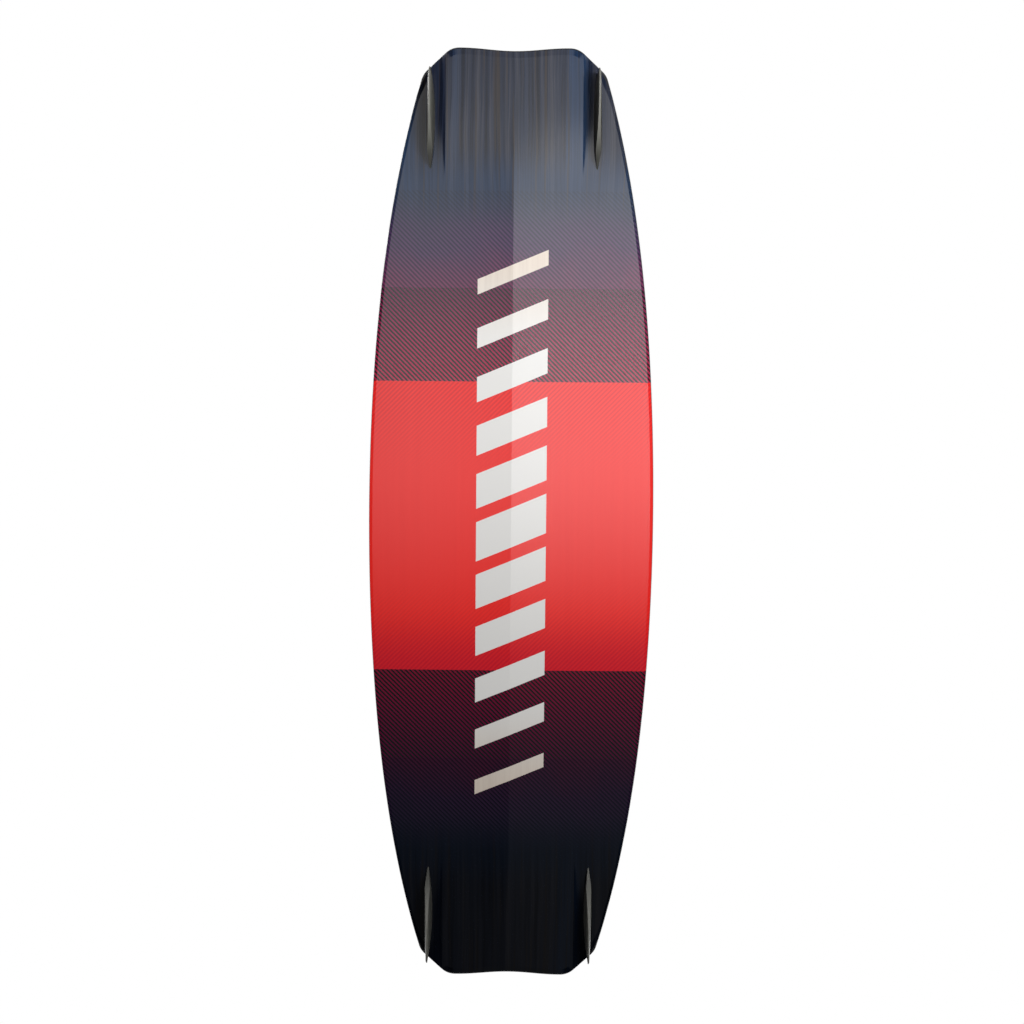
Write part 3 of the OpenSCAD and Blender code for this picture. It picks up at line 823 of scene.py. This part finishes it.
def make_deck():
    """The printed deck, bevelled round its edge, with a hole for each pad insert."""
    edge = outline(EDGE_IN)
    ring = outline(DECK_BAND)
    inner = outline(DECK_BAND + 4 * MM)
    drops = {key(p): DECK_BEVEL for p in edge}
    holes = [circle(end * (STANCE_X + (i - 2) * INSERT_GAP), side * CLAMP_R, INSERT_HOLE)
             for end in (-1, 1) for side in (-1, 1) for i in range(5)]
    points = grid_points(12 * MM, inner)
    points = [p for p in points if all((p - h[0]).length > 3 * MM for h in holes)]

    def top(p):
        return deck_z(p.x) - drops.get(key(p), 0.0)

    def bottom(p):
        return deck_z(p.x) - SKIN - (EDGE_DIP if key(p) in drops else 0.0)

    deck = slab("deck_laminate_printed", [edge, ring, inner], holes, [], points, bottom, top,
                "board")
    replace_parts(deck, "deck_laminate")
    dress(deck, 30, "deck", creases_of(deck, ring))


def make_rail(name, side):
    """The rail's section, swept along one side from nose to tail. Its outer face bulges to the outline."""
    insets = [RAIL_W, EDGE_IN, 0.35 * MM, 0.0, 0.0, 0.35 * MM, EDGE_IN, RAIL_W]
    heights = [0.0, 0.0, 0.14, 0.36, 0.64, 0.86, 1.0, 1.0]
    loops = [half_outline(d) for d in insets]
    stations = []
    for k in range(len(loops[0])):
        section = []
        for d, h, loop in zip(insets, heights, loops):
            p = loop[k]
            low = base_z(p.x) + SKIN - (relief(p) if d < RAIL_W / 2 else 0.0)
            high = deck_z(p.x) - SKIN - (EDGE_DIP if d < RAIL_W / 2 else 0.0)
            section.append((p.x, side * p.y, low + (high - low) * h))
        stations.append(section)
    rail = sweep(name, stations, "board", flip=side < 0)
    dress(rail, 40, "rail")
    return rail


make_base()
make_deck()
for side_name, side in (("left", 1), ("right", -1)):
    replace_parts(make_rail(f"rail_{side_name}_rounded", side), f"rail_{side_name}")


# ---------------------------------------------------------------- handle
HANDLE_FOOT = 86 * MM
HANDLE_W = 28 * MM
BLUNT = 0.62                # power of the grip's section: 1 is an ellipse, less is squarer
FINGER_PITCH, FINGER_DEEP = 15 * MM, 0.065
# the grip's side view in mm, (along, up): its under and its upper line from a foot to the middle
GRIP_UNDER = [(64, 0.2), (60.5, 12), (57.5, 21), (50, 24.7), (40, 25.0), (20, 25.0)]
GRIP_UPPER = [(78, 11.2), (72, 16.5), (66, 24), (58, 33), (46, 37.2), (22, 37.8)]
GRIP_MIDDLE = ((0, 25.0), (0, 38))


def bezier(a, b, c, d, t):
    s = 1 - t
    return a * s**3 + b * 3 * s * s * t + c * 3 * s * t * t + d * t**3


def through(points, i, t):
    """A smooth curve through the points, t of the way from point i to the next."""
    p0, p1, p2, p3 = (points[max(0, min(len(points) - 1, i + j))] for j in (-1, 0, 1, 2))
    return bezier(p1, p1 + (p2 - p0) / 6, p2 - (p3 - p1) / 6, p2, t)


def blunted(v, power):
    return math.copysign(abs(v) ** power, v)


def make_handle():
    """The grip, swept from foot to foot with finger ridges, and its two feet."""
    half_grip = list(zip(GRIP_UNDER, GRIP_UPPER))
    whole = [[Vector((-x * MM, z * MM)) for x, z in rung] for rung in half_grip]
    whole += [[Vector((x * MM, z * MM)) for x, z in rung] for rung in [GRIP_MIDDLE] + half_grip[::-1]]
    lines = list(zip(*whole))
    fine = [[through(line, i, k / 4) for line in lines] for i in range(len(whole) - 1) for k in range(4)]
    stations = []
    for u, o in fine + [whole[-1]]:
        mid, half = (u + o) / 2, (o - u) / 2
        x = mid.x / HANDLE_FOOT
        hy = HANDLE_W / 2 * (0.88 + 0.12 * smooth(0.45, 0.9, abs(x)))
        wave = 0.5 + 0.5 * math.cos(math.tau * mid.x / FINGER_PITCH)
        ridge = 1 - FINGER_DEEP * wave * smooth(0.62, 0.5, abs(x))
        section = []
        for a in turns(24):
            p = mid + half * blunted(math.sin(a), BLUNT) * ridge
            section.append((p.x, hy * blunted(math.cos(a), BLUNT) * ridge, BASE_Z + MID_T + p.y))
        stations.append(section)
    grip = sweep("handle_grip", stations, "board")
    dress(grip, 50, "handle")
    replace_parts(grip, "handle")
    for name, end in ENDS.items():
        dress(make_handle_foot(f"handle_foot_{name}", end), 35, "handle")


def make_handle_foot(name, end):
    """The flat foot round a screw: a rounded slab with a recess for the washer and a raised rim."""
    x0, x1, hy = 63 * MM, 105 * MM, 13.9 * MM       # its two ends, and half its width

    def ring(inset):
        r = hy - inset
        right = arc(Vector((x1 - hy, 0)), r, -math.pi / 2, math.pi / 2, 14)
        return right + [Vector((x0 + inset, r)), Vector((x0 + inset, -r))]

    def over_deck(loop, height):
        return [(end * p.x, p.y, deck_z(p.x) + height * MM) for p in loop]

    levels = [(0.0, 0.15), (0.0, 4.6), (0.5, 5.6), (1.6, 6.2)]      # mm: inset, and height over the deck
    verts = [v for inset, height in levels for v in over_deck(ring(inset * MM), height)]
    m = len(ring(0))
    faces = walls(len(levels), m)
    # a round well down to the washer's seat, as mm of radius and height
    base, steps = len(verts), 28
    well = [(8.4, 6.2), (7.6, 5.8), (7.5, 4.05)]
    for r, height in well:
        verts += over_deck(circle(HANDLE_FOOT, 0, r * MM, steps), height)
    faces += walls(len(well), steps, base)
    faces.append(tuple(base + (len(well) - 1) * steps + j for j in range(steps)))
    faces.append(tuple(range(m)))
    # the top between the outer ring and the well
    outer = ring(levels[-1][0] * MM)
    inner = circle(HANDLE_FOOT, 0, well[0][0] * MM, steps)
    flat, tris = triangulate([outer], [inner], [], [])
    where = {key(p): (len(levels) - 1) * m + i for i, p in enumerate(outer)}
    where.update({key(p): base + i for i, p in enumerate(inner)})
    faces += [tuple(where[key(flat[i])] for i in f) for f in tris]
    return outward(new_object(name, verts, faces, "board"))


make_handle()


# ---------------------------------------------------------------- pads
def stance(end):
    """From a pad's own frame, with +X to the nearer tip and Z 0 on the deck, to the board's frame."""
    slope = math.asin(STANCE_X / DECK_R)
    return (Matrix.Translation((end * STANCE_X, 0, deck_z(STANCE_X)))
            @ Matrix.Rotation(-end * slope, 4, "Y") @ Matrix.Diagonal((end, 1, 1, 1)))


def to_stance(piece, end):
    """Moves a mesh that was made in a pad's own frame to its place."""
    piece.data.transform(stance(end))
    if end < 0:
        piece.data.flip_normals()


PAD_HX, PAD_HY, PAD_CORNER = 76 * MM, 142 * MM, 42 * MM
FOAM_T, DISH_R = 11 * MM, 900 * MM
WAIST_R, WAIST_X = 70 * MM, 56 * MM
POCKET = 12 * MM
SWING = math.radians(15.5)


def pad_plan(inset):
    """The foam's plan: a rounded rectangle with a scallop at the waist on each side, inset."""
    hx, hy, r = PAD_HX - inset, PAD_HY - inset, PAD_CORNER - inset
    scallop = WAIST_R + inset
    half = math.sqrt(scallop**2 - (WAIST_X + WAIST_R - hx) ** 2)
    turn = math.asin(half / scallop)
    side = arc(Vector((WAIST_X + WAIST_R, 0)), scallop, math.pi + turn, math.pi - turn, 16)
    straight = [Vector((hx, half + (hy - r - half) * 0.5))]
    corner = arc(Vector((hx - r, hy - r)), r, 0, math.pi / 2, 12)
    quarter_loop = [p for p in side if p.y >= 0] + straight + corner
    left = [Vector((-p.x, p.y)) for p in reversed(quarter_loop)]
    upper = quarter_loop + left
    return upper + [Vector((p.x, -p.y)) for p in reversed(upper)][1:-1]


def pocket_plan(side, grow):
    """The slot-shaped pocket round a clamp screw."""
    hw, mid = POCKET + grow, math.pi / 2 * side
    loop = []
    for turn, edge, start in ((SWING, CLAMP_R + hw, 0.0), (-SWING, CLAMP_R - hw, math.pi)):
        last = mid + turn
        cap = Vector((CLAMP_R * math.cos(last), CLAMP_R * math.sin(last)))
        loop += arc(Vector((0, 0)), edge, mid - turn, last, 14)
        loop += arc(cap, hw, last + start, last + start + math.pi, 10)[1:-1]
    return loop


def pad_top(p):
    """Height of the footbed over the plate, dished across the board."""
    return FOAM_T + rise(DISH_R, p.y)


GROOVE_GAP, GROOVE_HALF, GROOVE_DEEP = 10.5 * MM, 1.15 * MM, 1.5 * MM


def groove(p):
    """Depth of the footbed's crossing grooves, 0 on the lands."""
    offs = [abs(t - GROOVE_GAP * round(t / GROOVE_GAP)) for t in diagonal(p)]
    return GROOVE_DEEP * min(1.0, max(0.0, (GROOVE_HALF - min(offs)) / (0.65 * GROOVE_HALF)))


def diagonal(p):
    return (p.x + p.y) / math.sqrt(2), (p.x - p.y) / math.sqrt(2)


def groove_points(loop, keep_out):
    """Lattice points along both diagonals, close together at the grooves' edges."""
    count = int(PAD_HY * 1.2 / GROOVE_GAP)
    across = (-GROOVE_HALF, -0.35 * GROOVE_HALF, 0.35 * GROOVE_HALF, GROOVE_HALF, GROOVE_GAP / 2)
    marks = [k * GROOVE_GAP + a for k in range(-count, count + 1) for a in across]
    found = []
    for a in marks:
        for b in marks:
            p = Vector((a + b, a - b)) / math.sqrt(2)
            if inside(p, loop) and not any(inside(p, k) for k in keep_out):
                found.append(p)
    return found


def make_footpad(name, end):
    """The moulded foam with its cut grooves, and the thinner layer under it."""
    node, body = f"footpad_{name}", f"{name}_pad"
    rims = [pad_plan(d * MM) for d in (0.0, 0.6, 1.8, 4.0)]
    sinks = [3.0, 1.2, 0.3, 0.0]
    drop = {}
    for loop, s in zip(rims, sinks):
        drop.update({key(p): s * MM for p in loop})
    holes, lips = [], []
    for side in (-1, 1):
        holes.append(pocket_plan(side, 0.0))
        lips += [pocket_plan(side, 0.5 * MM), pocket_plan(side, 1.6 * MM)]
        drop.update({key(p): 1.4 * MM for p in holes[-1]})
        drop.update({key(p): 0.4 * MM for p in lips[-2]})
    inner = pad_plan(5.5 * MM)
    keep_out = [pocket_plan(side, 3.2 * MM) for side in (-1, 1)]
    points = groove_points(inner, keep_out)

    def top(p):
        z = PLATE_TOP + pad_top(p) - drop.get(key(p), 0.0)
        if key(p) in drop or not inside(p, inner) or any(inside(p, k) for k in keep_out):
            return z
        return z - groove(p)

    layer_z = PLATE_TOP + 4.0 * MM

    def bottom(p):
        return layer_z

    pad = slab(node + "_foam", rims, holes, [], points, bottom, top, body)
    dress(pad, 40, "foam")

    base_rings = [pad_plan(0.9 * MM), pad_plan(2.5 * MM)]
    outer_keys = {key(p) for p in base_rings[0]}
    layer_holes = [pocket_plan(side, 0.9 * MM) for side in (-1, 1)]

    def low(p):
        return PLATE_TOP + 0.05 * MM + (0.5 * MM if key(p) in outer_keys else 0.0)

    layer = slab(node + "_lower_layer", base_rings, layer_holes, [], [], low, bottom, body)
    dress(layer, 40, "layer")
    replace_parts(pad, node)
    for piece in (pad, layer):
        to_stance(piece, end)


# ---------------------------------------------------------------- straps
ARCH_A, ARCH_B = 57 * MM, 58 * MM
FOAM_A, FOAM_B = 66.4 * MM, 66 * MM
BAND_T, FLAP_GAP, FLAP_T = 3 * MM, 0.4 * MM, 3 * MM
BAND_SHOWN, FLAP_SHOWN = BAND_T - 0.1 * MM, FLAP_T - 0.2 * MM   # a little thinner than their space
BAND_HEM, FLAP_HEM = 4.5 * MM, 4 * MM    # from an edge in to its stitches
FLAP_FROM, FLAP_TO = 38, 126             # degrees round the arch
LEG = 12 * MM                            # radius of the band's ends round the shoulder screws
RIBBON_EDGE = 1.1 * MM
ARCH_STEPS = 400                         # of the fine arch that evenly spaced points are read from
STRAP_SIDE = [(0, 12), (13, 18), (38, 37), (54, 42), (90, 39)]   # height over the pivot, half width


def arch_point(a, b, degrees):
    t = math.radians(degrees)
    return Vector((a * blunted(math.cos(t), 2 / ARCH_N), b * abs(math.sin(t)) ** (2 / ARCH_N)))


def run_of(path):
    """The distance along a path at each of its points."""
    lengths = [0.0]
    for p, q in zip(path, path[1:]):
        lengths.append(lengths[-1] + (q - p).length)
    return lengths


def arch_path(a, b, t0, t1, n):
    """n + 1 points along the arch, evenly spaced."""
    fine = [arch_point(a, b, t0 + (t1 - t0) * i / ARCH_STEPS) for i in range(ARCH_STEPS + 1)]
    lengths = run_of(fine)
    found, j = [], 0
    for i in range(n + 1):
        want = lengths[-1] * i / n
        while j < ARCH_STEPS - 1 and lengths[j + 1] < want:
            j += 1
        t = (want - lengths[j]) / max(1e-9, lengths[j + 1] - lengths[j])
        found.append(fine[j].lerp(fine[j + 1], min(1.0, t)))
    return found


def strap_half(z):
    """Half the strap's width at a height over the pivot."""
    z = z / MM
    for (z0, w0), (z1, w1) in zip(STRAP_SIDE, STRAP_SIDE[1:]):
        if z <= z1:
            return (w0 + (w1 - w0) * smooth(z0, z1, max(z, z0))) * MM
    return STRAP_SIDE[-1][1] * MM


def normals(path):
    """Outward normals of a path that goes over the arch from +x to -x."""
    found = []
    for i in range(len(path)):
        d = path[min(i + 1, len(path) - 1)] - path[max(i - 1, 0)]
        found.append(Vector((d.y, -d.x)).normalized())
    return found


def on_strap(q, y):
    """A point of the strap's side view, y across it, in the pad's own frame."""
    return Vector((q.x, y, PIVOT_Z + q.y))


def ribbon(name, look, path, half, thickness, body, place, start_round=0.0, end_round=0.0):
    """A strap of that thickness along path, with rounded edges, UVs in metres, and round ends if asked."""
    out = normals(path)
    lengths = run_of(path)
    total = lengths[-1]
    stations, us = [], []
    across = 14
    for p, nrm, s in zip(path, out, lengths):
        w = half(p, s / total)
        for r, d in ((start_round, s), (end_round, total - s)):
            if r and d < r:
                w = w - r + math.sqrt(max(0.0, r * r - (r - d) ** 2))
        e = min(RIBBON_EDGE, w / 2)
        lower = [(-w + e * 0.3, 0.12), (-w, 0.5), (-w + e * 0.3, 0.88)]
        upper = [(-w + e + (2 * w - 2 * e) * i / across, 1.0) for i in range(across + 1)]
        right = [(w - e * 0.3, 0.88), (w, 0.5), (w - e * 0.3, 0.12)]
        under = [(w - e - (2 * w - 2 * e) * i / across, 0.0) for i in range(across + 1)]
        section = lower + upper + right + under
        stations.append([place @ on_strap(p + nrm * (thickness * t), y) for y, t in section])
        us += [(s, y) for y, _ in section]
    piece = sweep(name, stations, body)
    uv = piece.data.uv_layers.new(name="strap")
    for loop in piece.data.loops:
        uv.data[loop.index].uv = us[loop.vertex_index]
    dress(piece, 50, look)
    return piece


THREAD_L, THREAD_W, THREAD_H = 2.6 * MM, 0.55 * MM, 0.45 * MM
# a thread's sections: (along it, width, height), as shares of the three sizes above
THREAD_RINGS = [(-0.5, 0.5, 0.0), (-0.28, 1.0, 0.8), (0.0, 1.0, 1.0), (0.28, 1.0, 0.8), (0.5, 0.5, 0.0)]
STITCH_PITCH = 4.2 * MM


def stitches(name, runs, body, place):
    """Short raised threads, one for each (point, outward, along) of runs, in the pad's own frame."""
    verts, faces = [], []
    corners = 5
    for p, up, along in runs:
        side = up.cross(along).normalized()
        base = len(verts)
        for s, w, h in THREAD_RINGS:
            centre = p + along * (THREAD_L * s)
            for a in (-1.0, -0.5, 0.5, 1.0):
                lift = THREAD_H * h * (1.0 if abs(a) < 0.75 else 0.15) - 0.12 * MM
                verts.append(place @ (centre + side * (THREAD_W * w * a) + up * lift))
            verts.append(place @ (centre - up * 0.5 * MM))
        faces += walls(len(THREAD_RINGS), corners, base)
        faces.append(tuple(base + j for j in reversed(range(corners))))
        faces.append(tuple(len(verts) - corners + j for j in range(corners)))
    piece = outward(new_object(name, verts, faces, body))
    dress(piece, 60, "thread")


def run_along(path, thickness, inset, half, first, last):
    """Stitch places along both edges of a ribbon, from one share of its length to another."""
    out = normals(path)
    lengths = run_of(path)
    total = lengths[-1]
    runs, s, i = [], first * total, 0
    while s < last * total:
        while i < len(path) - 2 and lengths[i + 1] < s:
            i += 1
        t = (s - lengths[i]) / (lengths[i + 1] - lengths[i])
        p, nrm = path[i].lerp(path[i + 1], t), out[i].lerp(out[i + 1], t).normalized()
        w = half(p, s / total) - inset
        d = path[i + 1] - path[i]
        wider = half(path[i + 1], lengths[i + 1] / total) - half(path[i], lengths[i] / total)
        for side in (-1, 1):
            along = Vector((d.x, side * wider, d.y)).normalized()
            runs.append((on_strap(p + nrm * thickness, side * w), Vector((nrm.x, 0, nrm.y)), along))
        s += STITCH_PITCH
    return runs


PADDING_FROM = 14 * MM       # height of the padding's ends over the pivot
PADDING_ROUND = 13 * MM      # they are rounded off over this height
PADDING_SECTION = [(-1, 0), (-1, 1), (-0.5, 1), (0, 1), (0.5, 1), (1, 1), (1, 0), (0.5, 0), (0, 0), (-0.5, 0)]


def padding_stations():
    """Loops through the strap's padding before it is filled: a thin arch, smaller than its space."""
    inner = arch_path(ARCH_A, ARCH_B, 0, 180, 60)
    outer = arch_path(FOAM_A, FOAM_B, 0, 180, 60)
    shrink = 1.5 * MM
    stations = []
    for p, q in zip(inner, outer):
        if p.y < PADDING_FROM:
            continue
        d = (q - p).normalized()
        a, b = p + d * shrink, q - d * shrink
        w = strap_half((a.y + b.y) / 2) - 2.5 * MM
        to_end = min(1.0, (p.y - PADDING_FROM) / PADDING_ROUND)
        w *= 0.45 + 0.55 * math.sqrt(1 - (1 - to_end) ** 2)
        stations.append([on_strap(a.lerp(b, v), w * u) for u, v in PADDING_SECTION])
    return stations


CLOTH_FRAMES = 20


def filled(piece, voxel, pressure, cap):
    """Swells a closed mesh as a cushion, no point further than cap, and leaves a plain mesh."""
    scene = bpy.context.scene
    remesh = piece.modifiers.new("remesh", "REMESH")
    remesh.mode = "VOXEL"
    remesh.voxel_size = voxel
    apply_modifiers(piece)
    before = [v.co.copy() for v in piece.data.vertices]
    cloth = piece.modifiers.new("cloth", "CLOTH")
    fabric = {"use_pressure": True, "uniform_pressure_force": pressure, "quality": 6, "mass": 0.3,
              "tension_stiffness": 30.0, "compression_stiffness": 30.0, "shear_stiffness": 20.0}
    for setting, value in fabric.items():
        setattr(cloth.settings, setting, value)
    cloth.settings.effector_weights.gravity = 0.0
    cloth.point_cache.frame_start, cloth.point_cache.frame_end = 1, CLOTH_FRAMES
    for f in range(1, CLOTH_FRAMES + 1):
        scene.frame_set(f)
    apply_modifiers(piece)
    scene.frame_set(1)
    for v, old in zip(piece.data.vertices, before):
        move = v.co - old
        if move.length > cap:
            v.co = old + move.normalized() * cap
    subdivide = piece.modifiers.new("subdivide", "SUBSURF")
    subdivide.levels = 1
    apply_modifiers(piece)


def apply_modifiers(piece):
    """Applies the piece's modifiers as they stand at this frame."""
    graph = bpy.context.evaluated_depsgraph_get()
    mesh = bpy.data.meshes.new_from_object(piece.evaluated_get(graph))
    piece.modifiers.clear()
    piece.data = mesh


def hold_in(piece):
    """Keeps the padding's points between the band and the foot, in the strap's own frame."""
    def level(x, z, a, b):
        return (abs(x) / a) ** ARCH_N + (max(z, 0.0) / b) ** ARCH_N

    for v in piece.data.vertices:
        x, z = v.co.x, v.co.z - PIVOT_Z
        out = level(x, z, FOAM_A - 0.1 * MM, FOAM_B - 0.1 * MM)
        low = level(x, z, ARCH_A - 2.5 * MM, ARCH_B - 2.5 * MM)
        if out > 1 or low < 1:
            k = (out if out > 1 else low) ** (-1 / ARCH_N)
            v.co.x, v.co.z = x * k, PIVOT_Z + z * k
        half = strap_half(max(z, 0.0)) + 2.2 * MM
        v.co.y = max(-half, min(half, v.co.y))


def make_padding():
    """The nose strap's padding, and a mirrored copy of it for the tail."""
    piece = sweep("strap_padding_nose", padding_stations(), "nose_strap")
    piece.parent = None
    filled(piece, voxel=4 * MM, pressure=4.0, cap=5 * MM)
    hold_in(piece)
    tail = placed("strap_padding_tail", piece.data.copy())
    for (name, end), pad in zip(ENDS.items(), (piece, tail)):
        to_stance(pad, end)
        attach(pad, f"{name}_strap")
        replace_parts(pad, f"strap_foam_{name}")
        dress(pad, 80, "lining")


def band_half(p, share):
    """Half the band's width, round the shoulder screws and over the arch."""
    if p.y < 0:
        return max(1.2 * MM, math.sqrt(max(0.0, LEG**2 - p.y**2)))
    return strap_half(p.y)


def flap_half(p, share):
    """Half the flap's width, narrower towards its free end."""
    return (33 - 5 * smooth(0.55, 1.0, share)) * MM


def make_band(name, place):
    """The webbing over the foot, down to the shoulder screws, with its stitches and bound edges."""
    body = f"{name}_strap"
    over = arch_path(FOAM_A + 0.05 * MM, FOAM_B + 0.05 * MM, 0, 180, 84)
    low = [Vector((over[0].x, -LEG * math.cos(math.pi / 2 * i / 8))) for i in range(8)]
    path = low + over + [Vector((-p.x, p.y)) for p in reversed(low)]
    band = ribbon(f"strap_band_{name}_woven", "band", path, band_half, BAND_SHOWN,
                  body, place)
    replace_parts(band, f"strap_band_{name}")
    runs = run_along(over, BAND_SHOWN, BAND_HEM, band_half, 0.10, 0.90)
    stitches(f"strap_stitching_{name}", runs, body, place)
    for side, tag in ((-1, "heel"), (1, "toe")):
        stations = []
        for p, nrm in list(zip(over, normals(over)))[6:-6]:
            edge = strap_half(p.y) - 0.4 * MM
            centre = p + nrm * (BAND_T / 2)
            stations.append([place @ on_strap(centre + nrm * (1.42 * MM * math.sin(a)),
                                              side * (edge + 1.3 * MM * math.cos(a))) for a in turns(10)])
        dress(sweep(f"strap_binding_{name}_{tag}", stations, body), 60, "tab")


def make_flap(name, place):
    """The hook-and-loop flap over the band, with its stitches and its tab."""
    body = f"{name}_flap"
    line = arch_path(FOAM_A + BAND_T + FLAP_GAP, FOAM_B + BAND_T + FLAP_GAP, FLAP_FROM, FLAP_TO, 60)
    flap = ribbon(f"strap_flap_{name}_woven", "flap", line, flap_half, FLAP_SHOWN, body, place,
                  start_round=5 * MM, end_round=16 * MM)
    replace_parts(flap, f"strap_flap_{name}")
    runs = run_along(line, FLAP_SHOWN, FLAP_HEM, flap_half, 0.06, 0.84)
    stitches(f"flap_stitching_{name}", runs, body, place)
    make_tab(name, body, place, line)


def make_tab(name, body, place, line):
    """A ribbed rubber tab at the flap's free end."""
    top = FLAP_T + 0.9 * MM
    ribbon(f"flap_tab_{name}", "tab", line[46:58], lambda p, share: (17 - 3 * share) * MM, top,
           body, place, start_round=5 * MM, end_round=7 * MM)
    out = normals(line)
    for number, i in enumerate((47, 49, 51, 53), 1):
        along = Vector((-out[i].y, out[i].x))
        centre = line[i] + out[i] * top
        stations = []
        for y in (-9, -8, -4, 0, 4, 8, 9):
            r = (0.9 if abs(y) < 9 else 0.35) * MM
            loop = [centre + along * (r * math.cos(a)) + out[i] * (r * 0.6 * math.sin(a)) for a in turns(8)]
            stations.append([place @ on_strap(q, y * MM) for q in loop])
        dress(sweep(f"flap_rib_{name}_{number}", stations, body), 60, "tab")


for name, end in ENDS.items():
    make_footpad(name, end)
    make_band(name, stance(end))
    make_flap(name, stance(end))
make_padding()


# ---------------------------------------------------------------- stage, light and camera
CAMERA_DISTANCE = 3.0                    # from the middle of the base, looking up at it
CAMERA_PITCH, CAMERA_ROLL = 0.1240, -0.0083
CAMERA_SLIDE = Vector((-0.00145, -0.02275, 0))
CAMERA_LENS = 72.3
SENSOR = 36.0


def make_camera():
    """Looks up at the base, with the nose up in the picture and the left rail on its right."""
    data = bpy.data.cameras.new("camera")
    data.lens = CAMERA_LENS
    data.sensor_width = SENSOR
    data.clip_start, data.clip_end = 0.05, 60
    camera = placed("camera", data)
    turn = Matrix.Rotation(CAMERA_ROLL, 3, "Z") @ Matrix.Rotation(CAMERA_PITCH, 3, "X")
    picture = Matrix(((0, 1, 0), (1, 0, 0), (0, 0, -1)))
    back = turn.transposed()
    where = back @ (Vector((0, 0, CAMERA_DISTANCE)) - CAMERA_SLIDE)
    middle = Vector((0, 0, BASE_Z))
    camera.matrix_world = Matrix.Translation(middle + picture @ where) @ (picture @ back).to_4x4()
    bpy.context.scene.camera = camera


def make_floor():
    """A pale floor under the fins, open from below so that the base is seen and lit through it."""
    half, fade_from, fade_to = 9.0, 1.3, 4.2
    corners = [(-half, -half), (half, -half), (half, half), (-half, half)]
    mesh = bpy.data.meshes.new("floor")
    mesh.from_pydata([(x, y, -0.3 * MM) for x, y in corners], [], [(0, 1, 2, 3)])
    floor = placed("floor", mesh)
    for rays in ("shadow", "diffuse", "glossy", "transmission"):
        setattr(floor, f"visible_{rays}", False)
    n = Nodes("floor_pale", Roughness=0.9, Specular_IOR_Level=0.1)
    x, y, _ = n.xyz()
    n.colour(n.mix(n.grain(3.0, 4.0), grey(0.78), grey(0.82)))
    far = n.math("SQRT", n.madd(x, x, n.mul(y, y)))
    far = n.step(far, fade_from, fade_to)
    clear = n.add("BsdfTransparent")
    both = n.add("MixShader")
    n.link(n.larger(far, n.add("NewGeometry").outputs["Backfacing"]), both.inputs[0])
    n.link(n.shader.outputs[0], both.inputs[1])
    n.link(clear.outputs[0], both.inputs[2])
    n.link(both.outputs[0], n.tree.nodes["Material Output"].inputs["Surface"])
    floor.data.materials.append(n.material)


def make_world():
    """White behind the object; its reflections are of a studio with soft boxes below the nose and above."""
    world = bpy.data.worlds.new("studio")
    bpy.context.scene.world = world
    n = Graph(world)
    x, y, z = n.split(n.add("TexCoord").outputs["Generated"])
    down = n.larger(n.size(z), 0.05)
    u, v = n.over(x, down), n.over(y, down)

    # below: a box that starts under the middle and is brighter to the left rail
    along = n.mul(n.step(u, -0.28, -0.04, 0.05, 1.7), n.step(u, 0.16, 0.42, 1.0, 0.45))
    to_left = n.mul(n.step(v, -0.09, 0.09, 0.0, 1.25), n.step(u, 0.18, 0.25, 1.0, 0.38))
    right = n.math("ADD", to_left, 0.85)
    edge = n.step(n.size(v), 0.095, 0.15, 1.0, 0.05)
    rim = n.mul(n.step(v, 0.5, 1.1, 0.0, 1.8), n.step(u, -0.2, 0.1))
    below = n.math("ADD", n.mul(n.mul(along, right), edge), rim)

    # above: a wide ceiling box over a darker room
    height = n.step(z, 0.05, 0.95, 0.16, 0.75)
    panel = n.mul(n.step(z, 0.45, 0.62), n.step(y, -0.75, 0.35, 1.0, 0.25))
    above = n.madd(panel, 0.5, height)

    glossy = n.mix(n.step(z, -0.12, 0.06), below, above, "FLOAT")
    diffuse = n.step(z, -0.3, 0.3, 0.04, 0.42)
    path = n.add("LightPath").outputs
    lit = n.mix(path["Is Glossy Ray"], diffuse, glossy, "FLOAT")
    seen = n.mix(path["Is Camera Ray"], lit, 1.0, "FLOAT")
    sky = n.tree.nodes["Background"]
    n.link(seen, sky.inputs["Strength"])
    sky.inputs["Color"].default_value = (1, 1, 1, 1)


def soft_light(name, place, target, size, watts, direct_only=False):
    """A soft box. A direct-only one lights what it shines on, and neither shows in gloss nor bounces on."""
    data = bpy.data.lights.new(name, "AREA")
    data.shape = "RECTANGLE"
    data.size, data.size_y = size
    data.energy = watts
    light = placed(name, data)
    light.location = place
    light.rotation_euler = (Vector(target) - Vector(place)).to_track_quat("-Z", "Y").to_euler()
    light.visible_camera = False
    light.visible_glossy = not direct_only
    if direct_only:
        data.cycles.max_bounces = 0


make_camera()
make_floor()
make_world()
soft_light("under_nose", (0.85, 0.60, -1.15), (0.25, 0, 0), (0.9, 0.5), 21.5, direct_only=True)
soft_light("under_all", (0, 0, -1.2), (0, 0, 0), (8, 8), 38.2, direct_only=True)
soft_light("key_above", (1.2, -1.5, 2.3), (0, 0, 0), (1.6, 1.6), 42)
soft_light("fill_above", (-1.8, 1.6, 1.9), (0, 0, 0), (1.6, 1.6), 20)
scene = bpy.context.scene
scene.view_settings.view_transform = "Standard"
scene.view_settings.look = "None"
